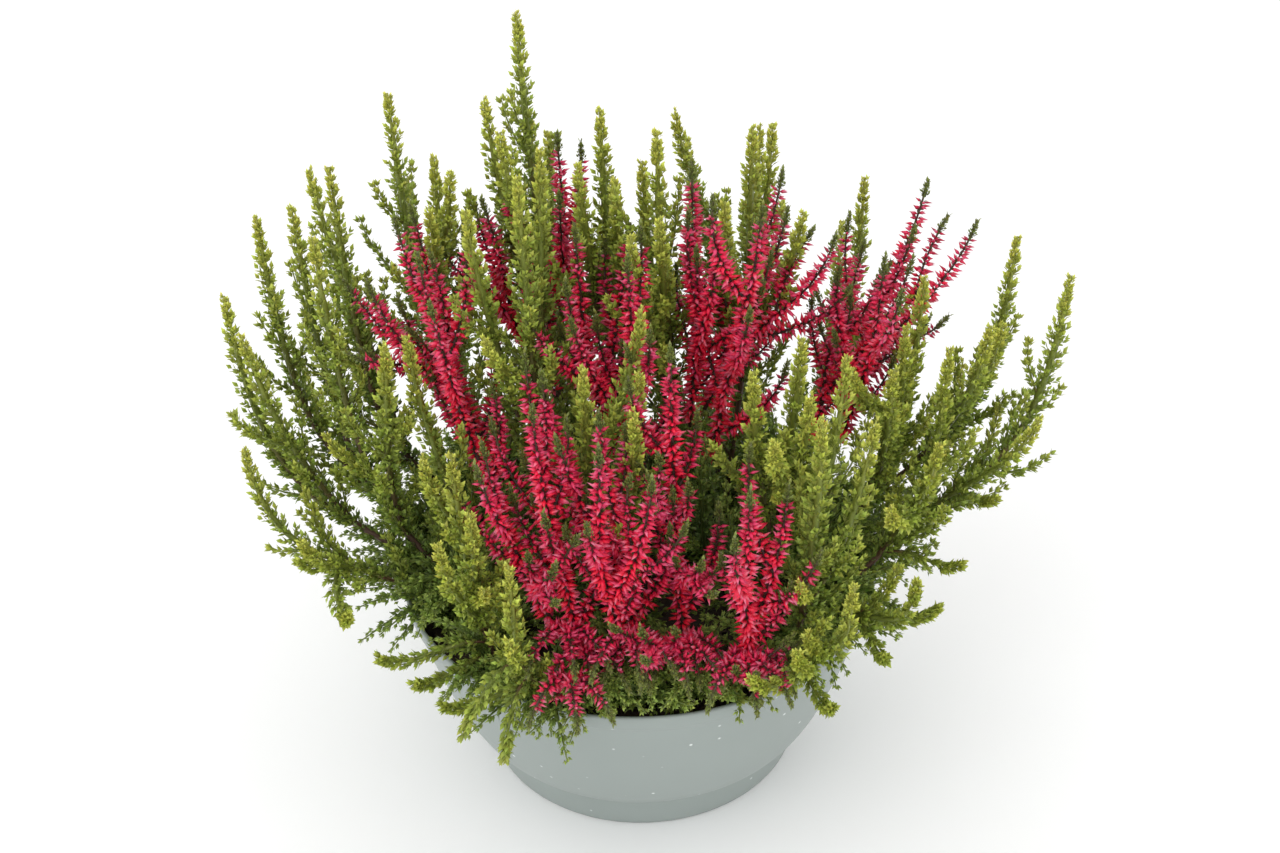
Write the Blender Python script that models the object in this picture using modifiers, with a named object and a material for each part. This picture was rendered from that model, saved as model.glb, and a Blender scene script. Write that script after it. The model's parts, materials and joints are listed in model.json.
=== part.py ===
"""Potted heather: a wide plastic bowl planted with green and crimson heather.

Metres, +Z up, front at -Y. The origin is the middle of the bowl's underside, where it stands.
Every spray is one solid: stems lofted along curved lines, with the scale leaves or the buds
raised from the stem's surface by a formula, and the side shoots fused to the main stem.
"""
import math
from collections import namedtuple

import bmesh
import bpy
import numpy as np

# The bowl
RIM_RADIUS = 0.115
BOWL_HEIGHT = 0.105
RIM_BAND_HEIGHT = 0.008
RIM_BAND_STEP = 0.0010
WALL_FOOT_RADIUS = 0.082
WALL_FOOT_HEIGHT = 0.021
WALL_CURVE_POWER = 0.6
FOOT_RADIUS = 0.077
FOOT_TOP_RADIUS = 0.081
FOOT_BAND_HEIGHT = 0.019
FOOT_RING_INNER_RADIUS = 0.068
REST_PAD_RADIUS = 0.020
RECESS_DEPTH = 0.002
WALL = 0.002
FLOOR_TOP = 0.0045
FLOOR_RADIUS = 0.074
EDGE_ROUND = 0.0006
BOWL_SIDES = 32
INNER_WALL_POINTS = 4
OUTER_WALL_POINTS = 5

# The soil and the holes that the stems stand in
SOIL_TOP = 0.092
SEAT_GAP = 0.0003
HOLE_DEPTH = 0.012
HOLE_RADIUS = 0.0023
HOLE_SIDES = 5
NECK_HEIGHT = 0.002

# Stems, and the leaves and buds raised from them: how many stand together in a whorl, how far
# they reach from the stem's middle, how far apart the whorls are, how far each tip rises along
# the stem, and the spikes' leafy tip
STEM_RADIUS = 0.0015
STEM_BURIED = HOLE_DEPTH - SEAT_GAP
CORE_RADIUS = 0.0024
Growth = namedtuple("Growth", "together reach pitch rise leafy_tip")
LEAVES = Growth(together=2, reach=0.0066, pitch=0.0170, rise=0.0085, leafy_tip=0.0)
TWIG_LEAVES = Growth(together=2, reach=0.0055, pitch=0.0150, rise=0.0070, leafy_tip=0.0)
BUDS = Growth(together=3, reach=0.0080, pitch=0.0165, rise=0.0040, leafy_tip=0.020)
LEAFY_TIP_REACH = 0.0036
SHOOT_TURN = 0.37
TAPER_LENGTH = 0.028
TAPER_POWER = 0.7
SLIMMEST = 0.25
CORE_SHARE = 0.6
BARE_STEP = 0.060
OUTER_BARE_STEP = 0.020
NEW_SHOOT_BARE = 0.008
SPIKE_BARE = 0.007
JOINT_BARE = 0.005
STUB_LENGTH = 0.022

# How far each two neighbours stay apart, and how the lines are bent to get there
LINE_STEP = 0.008
FINE_STEP = 0.003
CLEARANCE = 0.0008
BOWL_CLEARANCE = 0.0030
FORK_ZONE = 0.032
BEND_ROUNDS = 160
PAIR_RANGE = 0.040
PAIR_REFRESH = 10
WALL_SAMPLES = 64
RIM_ZONE = 0.014
PUSH_SHARE = 0.42
SMOOTHINGS = 2
FORK_FADE = 5
SLIM_END = 0.004
BLOCK = 256

# Branching: shares of the main stem at which side shoots leave it, and their lengths
FIRST_FORK = 0.24
FORK_STEP = 0.13
SPIKE_FORK = 0.20
SPIKE_FORK_STEP = 0.16
TWIG_FORK = 0.38
TWIG_LENGTH = 0.042
LOW_TWIG_FORKS = (0.07, 0.11)
LOW_TWIG_LENGTH = 0.038
FRONT_Y = -0.060
FORK_MARGIN = 0.012
OUTER_ROOT_RADIUS = 0.078
RIM_RISE = 0.045
OUTER_BARE = 0.034
INNER_LEAFY = 0.110
LEAFY_FROM = 0.016

# How far each twig points outward, sideways and up
TWIG_LEAN = (0.55, 0.8, 1.0)
TWIG_SWAY = 9.0
LOW_TWIG_LEANS = ((0.9, 0.9, 0.45), (0.9, -0.9, 0.45))

# Handles of the curves: shares of a stem's reach and climb, or of a side shoot's span
CURVE_SAMPLES = 200
RIM_START_REACH = 0.45
RIM_END_REACH = 0.06
RIM_END_CLIMB = 0.85
START_REACH = 0.40
START_CLIMB = 0.16
START_RISE = 0.028
END_REACH = 0.10
END_CLIMB = 0.42
LOOK_AHEAD = 0.04
SIDE_START_HANDLE = 0.30
SIDE_START_DIRECT = 0.8
SIDE_END_HANDLE = 0.32
SIDE_END_DIRECT = 0.6

# Green sprays: the root's x and y on the soil, then each tip's x, y and z. The first tip is the
# main stem's. A fourth number is the share of the main stem where that shoot branches off.
GREEN_SPRAYS = (
    ((-.030, .040), (-.049, .070, .358), (-.062, .045, .326), (-.054, .010, .329)),
    ((-.062, .035), (-.104, .070, .321), (-.092, .066, .290, .45), (-.085, .010, .294),
     (-.075, .015, .308)),
    ((-.042, -.008), (-.048, -.015, .322), (-.067, -.020, .308), (-.039, .005, .322),
     (-.063, -.050, .267)),
    ((-.086, .052), (-.134, .040, .300), (-.152, .070, .281)),
    ((-.098, .022), (-.169, .040, .275), (-.158, .056, .270)),
    ((-.101, -.006), (-.183, .010, .250), (-.175, -.006, .238)),
    ((-.078, -.022), (-.136, -.010, .291), (-.105, -.050, .261)),
    ((-.060, -.048), (-.095, -.030, .255), (-.087, -.080, .223)),
    ((-.064, -.076), (-.073, -.085, .227), (-.080, -.105, .200), (-.070, -.108, .212),
     (-.116, -.094, .124, .20), (-.099, -.110, .122, .13)),
    ((-.094, -.034), (-.177, -.025, .188), (-.150, -.062, .160), (-.128, -.092, .142),
     (-.158, -.040, .132, .34)),
    ((-.042, -.092), (-.053, -.115, .193), (-.086, -.120, .122), (-.060, -.128, .096),
     (-.076, -.134, .117)),
    ((-.008, .052), (-.013, .040, .323), (-.012, .020, .300), (-.023, .010, .315)),
    ((.016, .034), (.012, .010, .326), (.006, .035, .300), (-.001, -.015, .294),
     (.011, -.015, .297)),
    ((.044, .046), (.057, .040, .313), (.064, .055, .307), (.048, -.005, .294),
     (.070, -.010, .293)),
    ((-.004, -.046), (-.016, -.075, .259), (-.010, -.090, .249), (.003, -.070, .255),
     (.007, -.045, .272)),
    ((.056, -.028), (.070, -.055, .257), (.053, -.075, .257), (.068, -.085, .248),
     (.058, -.105, .245)),
    ((.070, -.060), (.073, -.100, .252), (.095, -.080, .238), (.090, -.050, .250)),
    ((.080, -.006), (.132, .005, .254), (.111, -.045, .240), (.118, -.020, .244),
     (.098, -.040, .235)),
    ((.092, -.034), (.140, -.020, .232), (.130, -.060, .207), (.108, -.090, .199),
     (.148, -.050, .132, .26)),
    ((.098, .026), (.178, .040, .254), (.158, -.015, .239), (.169, .010, .225)),
    ((.099, -.004), (.197, .010, .250), (.182, -.025, .194), (.170, -.012, .138, .30)),
    ((.061, -.078), (.090, -.115, .175), (.060, -.127, .160), (.047, -.137, .150),
     (.080, -.128, .120, .20)),
    ((.081, -.053), (.122, -.085, .150), (.134, -.076, .130), (.108, -.102, .120)),
    ((-.022, .086), (-.040, .150, .260), (-.010, .165, .225), (-.048, .126, .285)),
    ((.034, .088), (.065, .140, .265), (.030, .150, .255), (.022, .118, .285)),
    ((-.067, .072), (-.110, .120, .250), (-.085, .150, .210), (-.132, .096, .200)),
    ((.072, .067), (.115, .110, .250), (.110, .145, .205), (.140, .088, .200)),
)

# Crimson plants: the root, then each head: the share of the first head's line where its stem
# branches off (0 for the main stem), the length in flower, and its tips. A head's first tip is
# its main spike's, and the others branch off that spike.
RED_PLANTS = (
    ((-.034, -.036), (0, .150, (-.096, -.015, .287)),
     (.30, .130, (-.107, -.005, .293), (-.114, -.012, .271), (-.125, -.020, .237))),
    ((-.036, .014), (0, .130, (-.042, .055, .305), (-.033, .020, .292)),
     (.30, .110, (-.066, .045, .280), (-.074, .020, .275))),
    ((-.010, .004), (0, .140, (-.005, -.035, .292), (-.027, -.040, .269)),
     (.30, .120, (-.018, .000, .292), (.002, .010, .284))),
    ((.034, .000), (0, .170, (.026, .010, .312), (.039, -.010, .289)),
     (.22, .170, (.054, -.018, .307)),
     (.32, .150, (.070, .035, .294), (.079, .005, .287))),
    ((.072, .026), (0, .130, (.108, .010, .271), (.094, .018, .256)),
     (.24, .120, (.116, .020, .262), (.131, .035, .248)),
     (.34, .140, (.141, .045, .280), (.155, .040, .266))),
    ((-.020, -.094), (0, .160, (-.047, -.085, .256), (-.052, -.055, .259)),
     (.12, .130, (-.066, -.082, .231), (-.031, -.120, .198)),
     (.09, .050, (-.045, -.124, .132))),
    ((.003, -.096), (0, .160, (-.014, -.085, .253), (-.033, -.078, .257)),
     (.12, .150, (-.006, -.112, .252), (.005, -.112, .238))),
    ((.024, -.092), (0, .170, (.013, -.075, .273), (.026, -.112, .190), (.004, -.098, .226)),
     (.09, .075, (.000, -.127, .168))),
    ((.045, -.086), (0, .140, (.054, -.110, .229), (.064, -.105, .221)),
     (.11, .040, (.042, -.122, .142), (.072, -.112, .143))),
)

UP = np.array((0.0, 0.0, 1.0))


def clear_scene():
    for item in list(bpy.data.objects):
        bpy.data.objects.remove(item, do_unlink=True)


def new_collection(name):
    collection = bpy.data.collections.new(name)
    bpy.context.scene.collection.children.link(collection)
    return collection


def new_material(name, colour, roughness):
    material = bpy.data.materials.new(name)
    material.use_nodes = True
    shader = material.node_tree.nodes["Principled BSDF"]
    shader.inputs["Base Color"].default_value = (*colour, 1.0)
    shader.inputs["Roughness"].default_value = roughness
    shader.inputs["Metallic"].default_value = 0.0
    return material


def new_object(name, mesh, collection, material=None):
    item = bpy.data.objects.new(name, mesh)
    collection.objects.link(item)
    if material:
        mesh.materials.append(material)
    return item


def unit(vector):
    return vector / np.linalg.norm(vector)


# Bowl and soil


def wall_radius(height):
    """Outer radius of the bowl's curved wall at a height."""
    share = (height - WALL_FOOT_HEIGHT) / (BOWL_HEIGHT - WALL_FOOT_HEIGHT)
    share = np.clip(share, 0.0, 1.0)
    return WALL_FOOT_RADIUS + (RIM_RADIUS - WALL_FOOT_RADIUS) * share ** WALL_CURVE_POWER


def inner_wall(offset):
    """Profile points up the inside of the wall to the soil's top, set in by an offset."""
    heights = np.linspace(WALL_FOOT_HEIGHT, SOIL_TOP, INNER_WALL_POINTS)
    return [(wall_radius(z) - offset, z) for z in heights]


def turned(name, profile, collection, material):
    """A solid of revolution whose profile runs up its inside and down its outside."""
    mesh = bpy.data.meshes.new(name)
    points = [(radius, 0.0, height) for radius, height in profile]
    edges = [(k, k + 1) for k in range(len(points) - 1)]
    mesh.from_pydata(points, edges, [])
    item = new_object(name, mesh, collection, material)
    screw = item.modifiers.new("turn", "SCREW")
    screw.steps = BOWL_SIDES
    screw.render_steps = BOWL_SIDES
    screw.use_merge_vertices = True
    screw.merge_threshold = 0.00001
    screw.use_smooth_shade = True
    return item


def make_bowl(collection, material):
    band_bottom = BOWL_HEIGHT - RIM_BAND_HEIGHT
    below_band = wall_radius(band_bottom)
    outer_heights = np.linspace(band_bottom, WALL_FOOT_HEIGHT, OUTER_WALL_POINTS)
    profile = [(0.0, FLOOR_TOP), (FLOOR_RADIUS, FLOOR_TOP)]
    profile += [(WALL_FOOT_RADIUS - 2 * WALL, FLOOR_TOP + WALL)]
    profile += inner_wall(WALL)
    profile += [(RIM_RADIUS - WALL, BOWL_HEIGHT)]
    profile += [(RIM_RADIUS - EDGE_ROUND, BOWL_HEIGHT), (RIM_RADIUS, BOWL_HEIGHT - EDGE_ROUND)]
    profile += [(below_band + RIM_BAND_STEP, band_bottom)]
    profile += [(wall_radius(z), z) for z in outer_heights]
    profile += [(FOOT_TOP_RADIUS, FOOT_BAND_HEIGHT), (FOOT_RADIUS, 0.0)]
    profile += [(FOOT_RING_INNER_RADIUS, 0.0)]
    profile += [(FOOT_RING_INNER_RADIUS - RECESS_DEPTH, RECESS_DEPTH)]
    profile += [(REST_PAD_RADIUS + RECESS_DEPTH, RECESS_DEPTH)]
    profile += [(REST_PAD_RADIUS, 0.0), (0.0, 0.0)]
    return turned("bowl", profile, collection, material)


def make_soil(collection, cutters, material, roots):
    offset = WALL + SEAT_GAP
    floor = FLOOR_TOP + SEAT_GAP
    profile = [(0.0, SOIL_TOP), *reversed(inner_wall(offset))]
    profile += [(FLOOR_RADIUS - offset, floor), (0.0, floor)]
    soil = turned("potting_soil", profile, collection, material)
    for number, (x, y) in enumerate(roots, 1):
        cutter_mesh = bpy.data.meshes.new("stem_hole")
        bm = bmesh.new()
        bmesh.ops.create_cone(bm, cap_ends=True, segments=HOLE_SIDES, radius1=HOLE_RADIUS,
                              radius2=HOLE_RADIUS, depth=2 * HOLE_DEPTH)
        bm.to_mesh(cutter_mesh)
        bm.free()
        cutter = new_object(f"stem_hole_{number:02d}", cutter_mesh, cutters)
        cutter.location = (x, y, SOIL_TOP)
        cutter.hide_render = True
        cutter.display_type = "WIRE"
    cut = soil.modifiers.new("stem holes", "BOOLEAN")
    cut.operation = "DIFFERENCE"
    cut.operand_type = "COLLECTION"
    cut.collection = cutters
    return soil


# Lines that the stems follow


def bezier(start, start_handle, end_handle, end):
    """Points about LINE_STEP apart along a cubic curve."""
    share = np.linspace(0.0, 1.0, CURVE_SAMPLES)[:, None]
    rest = 1.0 - share
    curve = rest ** 3 * start + 3 * rest ** 2 * share * start_handle
    curve = curve + 3 * rest * share ** 2 * end_handle + share ** 3 * end
    return even_steps(curve)


def travelled(line):
    """Distance along a line at each of its points."""
    steps = np.linalg.norm(np.diff(line, axis=0), axis=1)
    return np.concatenate(([0.0], np.cumsum(steps)))


def at_distance(line, distance):
    """Points of a line at given distances from its start."""
    along = travelled(line)
    return np.stack([np.interp(distance, along, line[:, k]) for k in range(3)], axis=-1)


def even_steps(line, step=LINE_STEP):
    total = travelled(line)[-1]
    count = max(4, round(total / step) + 1)
    return at_distance(line, np.linspace(0.0, total, count))


def main_line(root, tip):
    """From the soil outwards, then up to the tip. Stems near the rim first lie out over it."""
    start = np.array((*root, SOIL_TOP))
    tip = np.array(tip)
    climb = tip[2] - start[2]
    reach = (tip - start) * (1.0, 1.0, 0.0)
    if near_rim(root):
        start_handle = start + RIM_START_REACH * reach + UP * RIM_RISE
        end_handle = tip - RIM_END_REACH * reach - UP * RIM_END_CLIMB * climb
    else:
        start_handle = start + START_REACH * reach + UP * (START_CLIMB * climb + START_RISE)
        end_handle = tip - END_REACH * reach - UP * END_CLIMB * climb
    return bezier(start, start_handle, end_handle, tip)


def near_rim(root):
    return math.hypot(*root) > OUTER_ROOT_RADIUS


def side_line(parent, share, tip):
    """Leaves its parent along the parent's own direction, then turns up to its tip."""
    total = travelled(parent)[-1]
    start = at_distance(parent, share * total)
    ahead = unit(at_distance(parent, min(1.0, share + LOOK_AHEAD) * total) - start)
    tip = np.array(tip)
    span = np.linalg.norm(tip - start)
    direct = unit(tip - start)
    start_handle = start + SIDE_START_HANDLE * span * unit(ahead + SIDE_START_DIRECT * direct)
    arriving = unit(UP * np.sign(tip[2] - start[2]) + SIDE_END_DIRECT * direct)
    end_handle = tip - SIDE_END_HANDLE * span * arriving
    return bezier(start, start_handle, end_handle, tip)


class Shoot:
    """One stem or side shoot: its line, the node it belongs to and the leaves it carries."""

    def __init__(self, node, plant, line, parent=None, fork=0.0):
        self.node = node
        self.plant = plant
        self.line = line
        self.parent = parent
        self.fork = fork
        self.reach = LEAVES.reach
        self.bare = NEW_SHOOT_BARE
        self.outer = False
        self.twig = False
        self.head = None
        self.head_length = 0.0


def green_shoots():
    shoots = []
    for number, (root, *tips) in enumerate(GREEN_SPRAYS, 1):
        node = f"green_spray_{number:02d}"
        main = Shoot(node, node, main_line(root, tips[0]))
        main.outer = near_rim(root)
        shoots.append(main)
        for k, tip in enumerate(tips[1:]):
            fork = tip[3] if len(tip) > 3 else FIRST_FORK + FORK_STEP * k
            side = Shoot(node, node, side_line(main.line, fork, tip[:3]), main, fork)
            side.bare = leafless(side.line, NEW_SHOOT_BARE, main.outer)
            shoots.append(side)
        main.bare = leafless(main.line, OUTER_BARE, main.outer)
        if main.outer:
            outward, sideways, up = TWIG_LEAN
            sideways *= math.sin(TWIG_SWAY * root[0] / RIM_RADIUS)
            shoots.append(twig(main, TWIG_FORK, TWIG_LENGTH, (outward, sideways, up)))
    return shoots


def leafless(line, least, outer):
    """Length of bare stem: short where the shoot is seen, long inside the bush."""
    return least if outer else max(least, travelled(line)[-1] - INNER_LEAFY)


def twig(main, fork, length, lean):
    """A short side twig. Its lean is how far it points outward, sideways and up."""
    outward = unit(main.line[-1] * (1.0, 1.0, 0.0))
    start = at_distance(main.line, fork * travelled(main.line)[-1])
    way = unit(lean[0] * outward + lean[1] * np.cross(UP, outward) + lean[2] * UP)
    side = Shoot(main.node, main.plant, side_line(main.line, fork, start + length * way), main,
                 fork)
    side.reach = TWIG_LEAVES.reach
    side.twig = True
    return side


def flower_start(line, flower_length):
    """Distance along a stem at which its flowers begin."""
    return max(travelled(line)[-1] - flower_length, STUB_LENGTH)


def red_shoots():
    """Each head's whole line runs from the soil or a fork; its upper part is the head's node."""
    shoots = []
    head_number = 0
    for number, (root, *heads) in enumerate(RED_PLANTS, 1):
        node = f"crimson_stem_{number:02d}"
        first = None
        last_fork = max(head[0] for head in heads)
        for fork, length, tip, *side_tips in heads:
            head_number += 1
            line = side_line(first.line, fork, tip) if first else main_line(root, tip)
            total = travelled(line)[-1]
            if first is None:
                length = min(length, (1.0 - last_fork) * total - FORK_MARGIN)
            stem = Shoot(node, node, line, first, fork)
            stem.bare = LEAFY_FROM if first is None else NEW_SHOOT_BARE
            stem.head = f"crimson_spike_{head_number:02d}"
            stem.head_length = length
            stem.reach = BUDS.reach
            shoots.append(stem)
            first = first or stem
            head_start = flower_start(line, length) / total
            for k, side_tip in enumerate(side_tips):
                share = head_start + (1.0 - head_start) * (SPIKE_FORK + SPIKE_FORK_STEP * k)
                side = Shoot(stem.head, node, side_line(line, share, side_tip), stem, share)
                side.reach = BUDS.reach
                shoots.append(side)
        if root[1] < FRONT_Y:
            for fork, lean in zip(LOW_TWIG_FORKS, LOW_TWIG_LEANS):
                shoots.append(twig(first, fork, LOW_TWIG_LENGTH, lean))
    return shoots


# Bending the lines clear of each other and of the bowl


def from_wall(points):
    """How far outwards and how far up each point lies from the wall's nearest middle point."""
    heights = np.linspace(0.0, BOWL_HEIGHT, WALL_SAMPLES)
    outwards = np.hypot(points[:, 0], points[:, 1])[:, None] - (wall_radius(heights) - 0.5 * WALL)
    upwards = points[:, 2][:, None] - heights
    nearest = np.hypot(outwards, upwards).argmin(axis=1)
    row = np.arange(len(points))
    return outwards[row, nearest], upwards[row, nearest]


def bowl_gap(points):
    """Free distance from each point to the bowl or the soil."""
    wall_gap = np.hypot(*from_wall(points)) - 0.5 * WALL - RIM_BAND_STEP
    over_soil = np.hypot(points[:, 0], points[:, 1]) < RIM_RADIUS
    soil_gap = np.where(over_soil, points[:, 2] - SOIL_TOP, np.inf)
    return np.minimum(wall_gap, soil_gap) - SEAT_GAP


def bowl_push(points, reach):
    """How far each point has to move to stay off the bowl: over the rim, or away from the wall."""
    outwards, upwards = from_wall(points)
    distance = np.maximum(np.hypot(outwards, upwards), 1e-6)
    room = reach + BOWL_CLEARANCE + 0.5 * WALL + RIM_BAND_STEP
    short = np.maximum(0.0, room - distance)
    over_rim = (points[:, 2] > BOWL_HEIGHT - RIM_ZONE) & (outwards < 0.5 * room)
    up = np.where(over_rim, 1.0, upwards / distance)
    out = np.where(over_rim, 0.0, outwards / distance)
    radial = points * (1.0, 1.0, 0.0)
    radial = radial / np.maximum(np.linalg.norm(radial, axis=1), 1e-6)[:, None]
    return (short * out)[:, None] * radial + (short * up)[:, None] * UP


def bend_clear(shoots):
    """Bends the lines apart until their leaves have room, moving each as smoothly as it can."""
    sizes = [len(shoot.line) for shoot in shoots]
    first = np.concatenate(([0], np.cumsum(sizes)))[:-1]
    last = first + np.array(sizes) - 1
    start = np.concatenate([shoot.line for shoot in shoots])
    along = np.concatenate([travelled(shoot.line) for shoot in shoots])
    reach = np.concatenate([reaches(shoot) for shoot in shoots])
    owner = np.concatenate([np.full(size, k) for k, size in enumerate(sizes)])
    plants = sorted({shoot.plant for shoot in shoots})
    plant = np.array([plants.index(shoots[k].plant) for k in owner])
    before = np.maximum(np.arange(len(start)) - 1, first[owner])
    after = np.minimum(np.arange(len(start)) + 1, last[owner])
    row = {id(shoot): k for k, shoot in enumerate(shoots)}
    roots = [first[k] for k, shoot in enumerate(shoots) if shoot.parent is None]
    joined = []
    for k, shoot in enumerate(shoots):
        if shoot.parent is not None:
            parent = row[id(shoot.parent)]
            at = first[parent] + round(shoot.fork * (sizes[parent] - 1))
            joined.append((first[k], at, sizes[k]))
    ease = np.minimum(1.0, along / FORK_ZONE)
    shift = np.zeros_like(start)
    for turn in range(BEND_ROUNDS):
        place = start + shift
        if turn % PAIR_REFRESH == 0:
            one, two = near_pairs(place, owner, plant, along)
        apart = place[two] - place[one]
        distance = np.maximum(np.linalg.norm(apart, axis=1), 1e-6)
        short = reach[one] + reach[two] + CLEARANCE - distance
        tight = short > 0
        move = (PUSH_SHARE * short[tight] / distance[tight])[:, None] * apart[tight]
        push = np.zeros_like(start)
        np.add.at(push, one[tight], -move)
        np.add.at(push, two[tight], move)
        push = push * ease[:, None] + bowl_push(place, reach)
        shift = shift + push
        for _ in range(SMOOTHINGS):
            shift = 0.25 * shift[before] + 0.5 * shift + 0.25 * shift[after]
            shift[roots] = 0.0
            for begin, at, size in joined:
                tied = shift[at] - shift[begin]
                fade = np.linspace(1.0, 0.0, min(size, FORK_FADE))[:, None]
                shift[begin:begin + len(fade)] += fade * tied
    place = start + shift
    for k, shoot in enumerate(shoots):
        shoot.line = place[first[k]:last[k] + 1].copy()
    for shoot in shoots:
        if shoot.parent is not None:
            total = travelled(shoot.parent.line)[-1]
            shoot.line[0] = at_distance(shoot.parent.line, shoot.fork * total)


def reaches(shoot):
    """Room that each point of a shoot's line needs around it."""
    along = travelled(shoot.line)
    leafy = (along > shoot.bare - LEAVES.pitch) & (along[-1] - along > SLIM_END)
    return np.where(leafy, shoot.reach, STEM_RADIUS)


def near_pairs(place, owner, plant, along):
    """Pairs of points on different shoots that may come too close, but not round a fork."""
    ones = []
    twos = []
    for k in range(0, len(place), BLOCK):
        block = slice(k, min(k + BLOCK, len(place)))
        distance = np.linalg.norm(place[block, None] - place[None], axis=2)
        one, two = np.nonzero(distance < PAIR_RANGE)
        one = one + k
        forked = np.minimum(along[one], along[two]) < FORK_ZONE
        keep = (one < two) & (owner[one] != owner[two])
        keep &= ~((plant[one] == plant[two]) & forked)
        ones.append(one[keep])
        twos.append(two[keep])
    return np.concatenate(ones), np.concatenate(twos)


# Solids along the lines


class Room:
    """Tells how far leaves may reach at a point before they meet another node's line."""

    def __init__(self, named_lines):
        fine = [(name, even_steps(line, FINE_STEP)) for name, line in named_lines]
        self.points = np.concatenate([line for _, line in fine])
        self.names = np.array([name for name, line in fine for _ in line])

    def reach(self, name, point, wanted):
        others = self.points[self.names != name]
        nearest = np.linalg.norm(others - point, axis=1).min()
        return min(wanted, 0.5 * (nearest - CLEARANCE), bowl_gap(point[None])[0])


def frames(line, distances):
    """Points, and two cross directions carried along without twisting, at given distances."""
    total = travelled(line)[-1]
    distances = np.clip(distances, 0.0, total)
    points = at_distance(line, distances)
    ahead = at_distance(line, np.minimum(distances + 0.5 * LINE_STEP, total))
    behind = at_distance(line, np.maximum(distances - 0.5 * LINE_STEP, 0.0))
    side = np.array((1.0, 0.0, 0.0))
    sides = []
    for k in range(len(points)):
        tangent = unit(ahead[k] - behind[k])
        side = unit(side - tangent * (side @ tangent))
        sides.append((side, np.cross(tangent, side)))
    return points, sides


def ring(point, side, angle, radius):
    return point + radius * (math.cos(angle) * side[0] + math.sin(angle) * side[1])


def loft(name, rings, tip):
    """Skins rings of equal count, closes the first with a flat face and the last with a point."""
    mesh = bpy.data.meshes.new(name)
    bm = bmesh.new()
    rows = [[bm.verts.new(point) for point in points] for points in rings]
    count = len(rows[0])
    bm.faces.new(reversed(rows[0]))
    for low, high in zip(rows, rows[1:]):
        for k in range(count):
            after = (k + 1) % count
            bm.faces.new((low[k], low[after], high[after], high[k]))
    if tip is None:
        bm.faces.new(rows[-1])
    else:
        point = bm.verts.new(tip)
        for k in range(count):
            bm.faces.new((rows[-1][k], rows[-1][(k + 1) % count], point))
    bmesh.ops.triangulate(bm, faces=bm.faces[:])
    bm.normal_update()
    bm.to_mesh(mesh)
    bm.free()
    return mesh


def bare_rings(line, distances, angles):
    """Round rings of the bare stem at given distances."""
    points, sides = frames(line, distances)
    return [[ring(point, side, angle, STEM_RADIUS) for angle in angles]
            for point, side in zip(points, sides)]


def whorl_rings(name, line, distances, angles, growth, room):
    """Rings whose every second point is raised into a leaf or bud, turned from whorl to whorl."""
    total = travelled(line)[-1]
    low, low_sides = frames(line, distances)
    tips, tip_sides = frames(line, distances + growth.rise)
    rings = []
    for k, distance in enumerate(distances):
        left = total - distance
        slim = max(SLIMMEST, min(1.0, left / TAPER_LENGTH)) ** TAPER_POWER
        wanted = slim * (LEAFY_TIP_REACH if left < growth.leafy_tip else growth.reach)
        reach = room.reach(name, tips[k], wanted)
        core = min(CORE_RADIUS * slim, CORE_SHARE * reach)
        rings.append([ring(tips[k], tip_sides[k], angle, reach) if (j + k) % 2 == 0
                      else ring(low[k], low_sides[k], angle, core)
                      for j, angle in enumerate(angles)])
    return rings


def bare_distances(bare, step, rooted):
    """Distances of the bare stem's rings. A rooted stem stands upright in its hole to its neck."""
    start = STEM_BURIED + NECK_HEIGHT if rooted else 0.0
    count = max(1, round((bare - start) / step))
    distances = np.linspace(start, bare, count + 1)[:-1]
    return np.concatenate(([0.0], distances)) if rooted else distances


def stem_mesh(name, line, bare, bare_at, growth, room, turn, flat_end=False):
    """A stem that is bare at first, then has whorls of leaves or buds raised from its surface."""
    total = travelled(line)[-1]
    leafy = total - bare - (JOINT_BARE if flat_end else 0.0)
    whorls = max(1, round(leafy / growth.pitch))
    angles = turn + math.pi * np.arange(2 * growth.together) / growth.together
    rings = bare_rings(line, bare_at, angles)
    rings += whorl_rings(name, line, bare + leafy * np.arange(whorls) / whorls, angles, growth,
                         room)
    if flat_end:
        return loft(name, rings + bare_rings(line, np.array([total]), angles), None)
    return loft(name, rings, line[-1])


def fuse(name, meshes, collection, material):
    """Joins a node's stems into one solid with one Boolean union, and keeps its outer body."""
    body = new_object(name, meshes[0], collection, material)
    if len(meshes) > 1:
        others = new_collection("to fuse")
        for mesh in meshes[1:]:
            new_object("shoot", mesh, others)
        join = body.modifiers.new("join", "BOOLEAN")
        join.operation = "UNION"
        join.operand_type = "COLLECTION"
        join.collection = others
        for solver in ("EXACT", "MANIFOLD"):
            join.solver = solver
            bpy.context.view_layer.update()
            ready = body.evaluated_get(bpy.context.evaluated_depsgraph_get())
            joined = keep_outer_body(bpy.data.meshes.new_from_object(ready))
            if is_closed(joined):
                break
        body.modifiers.clear()
        body.data = joined
        body.data.materials.clear()
        body.data.materials.append(material)
        for item in list(others.objects):
            bpy.data.objects.remove(item, do_unlink=True)
        bpy.data.collections.remove(others)
    return body


def is_closed(mesh):
    bm = bmesh.new()
    bm.from_mesh(mesh)
    closed = all(len(edge.link_faces) == 2 for edge in bm.edges)
    bm.free()
    return closed


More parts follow.
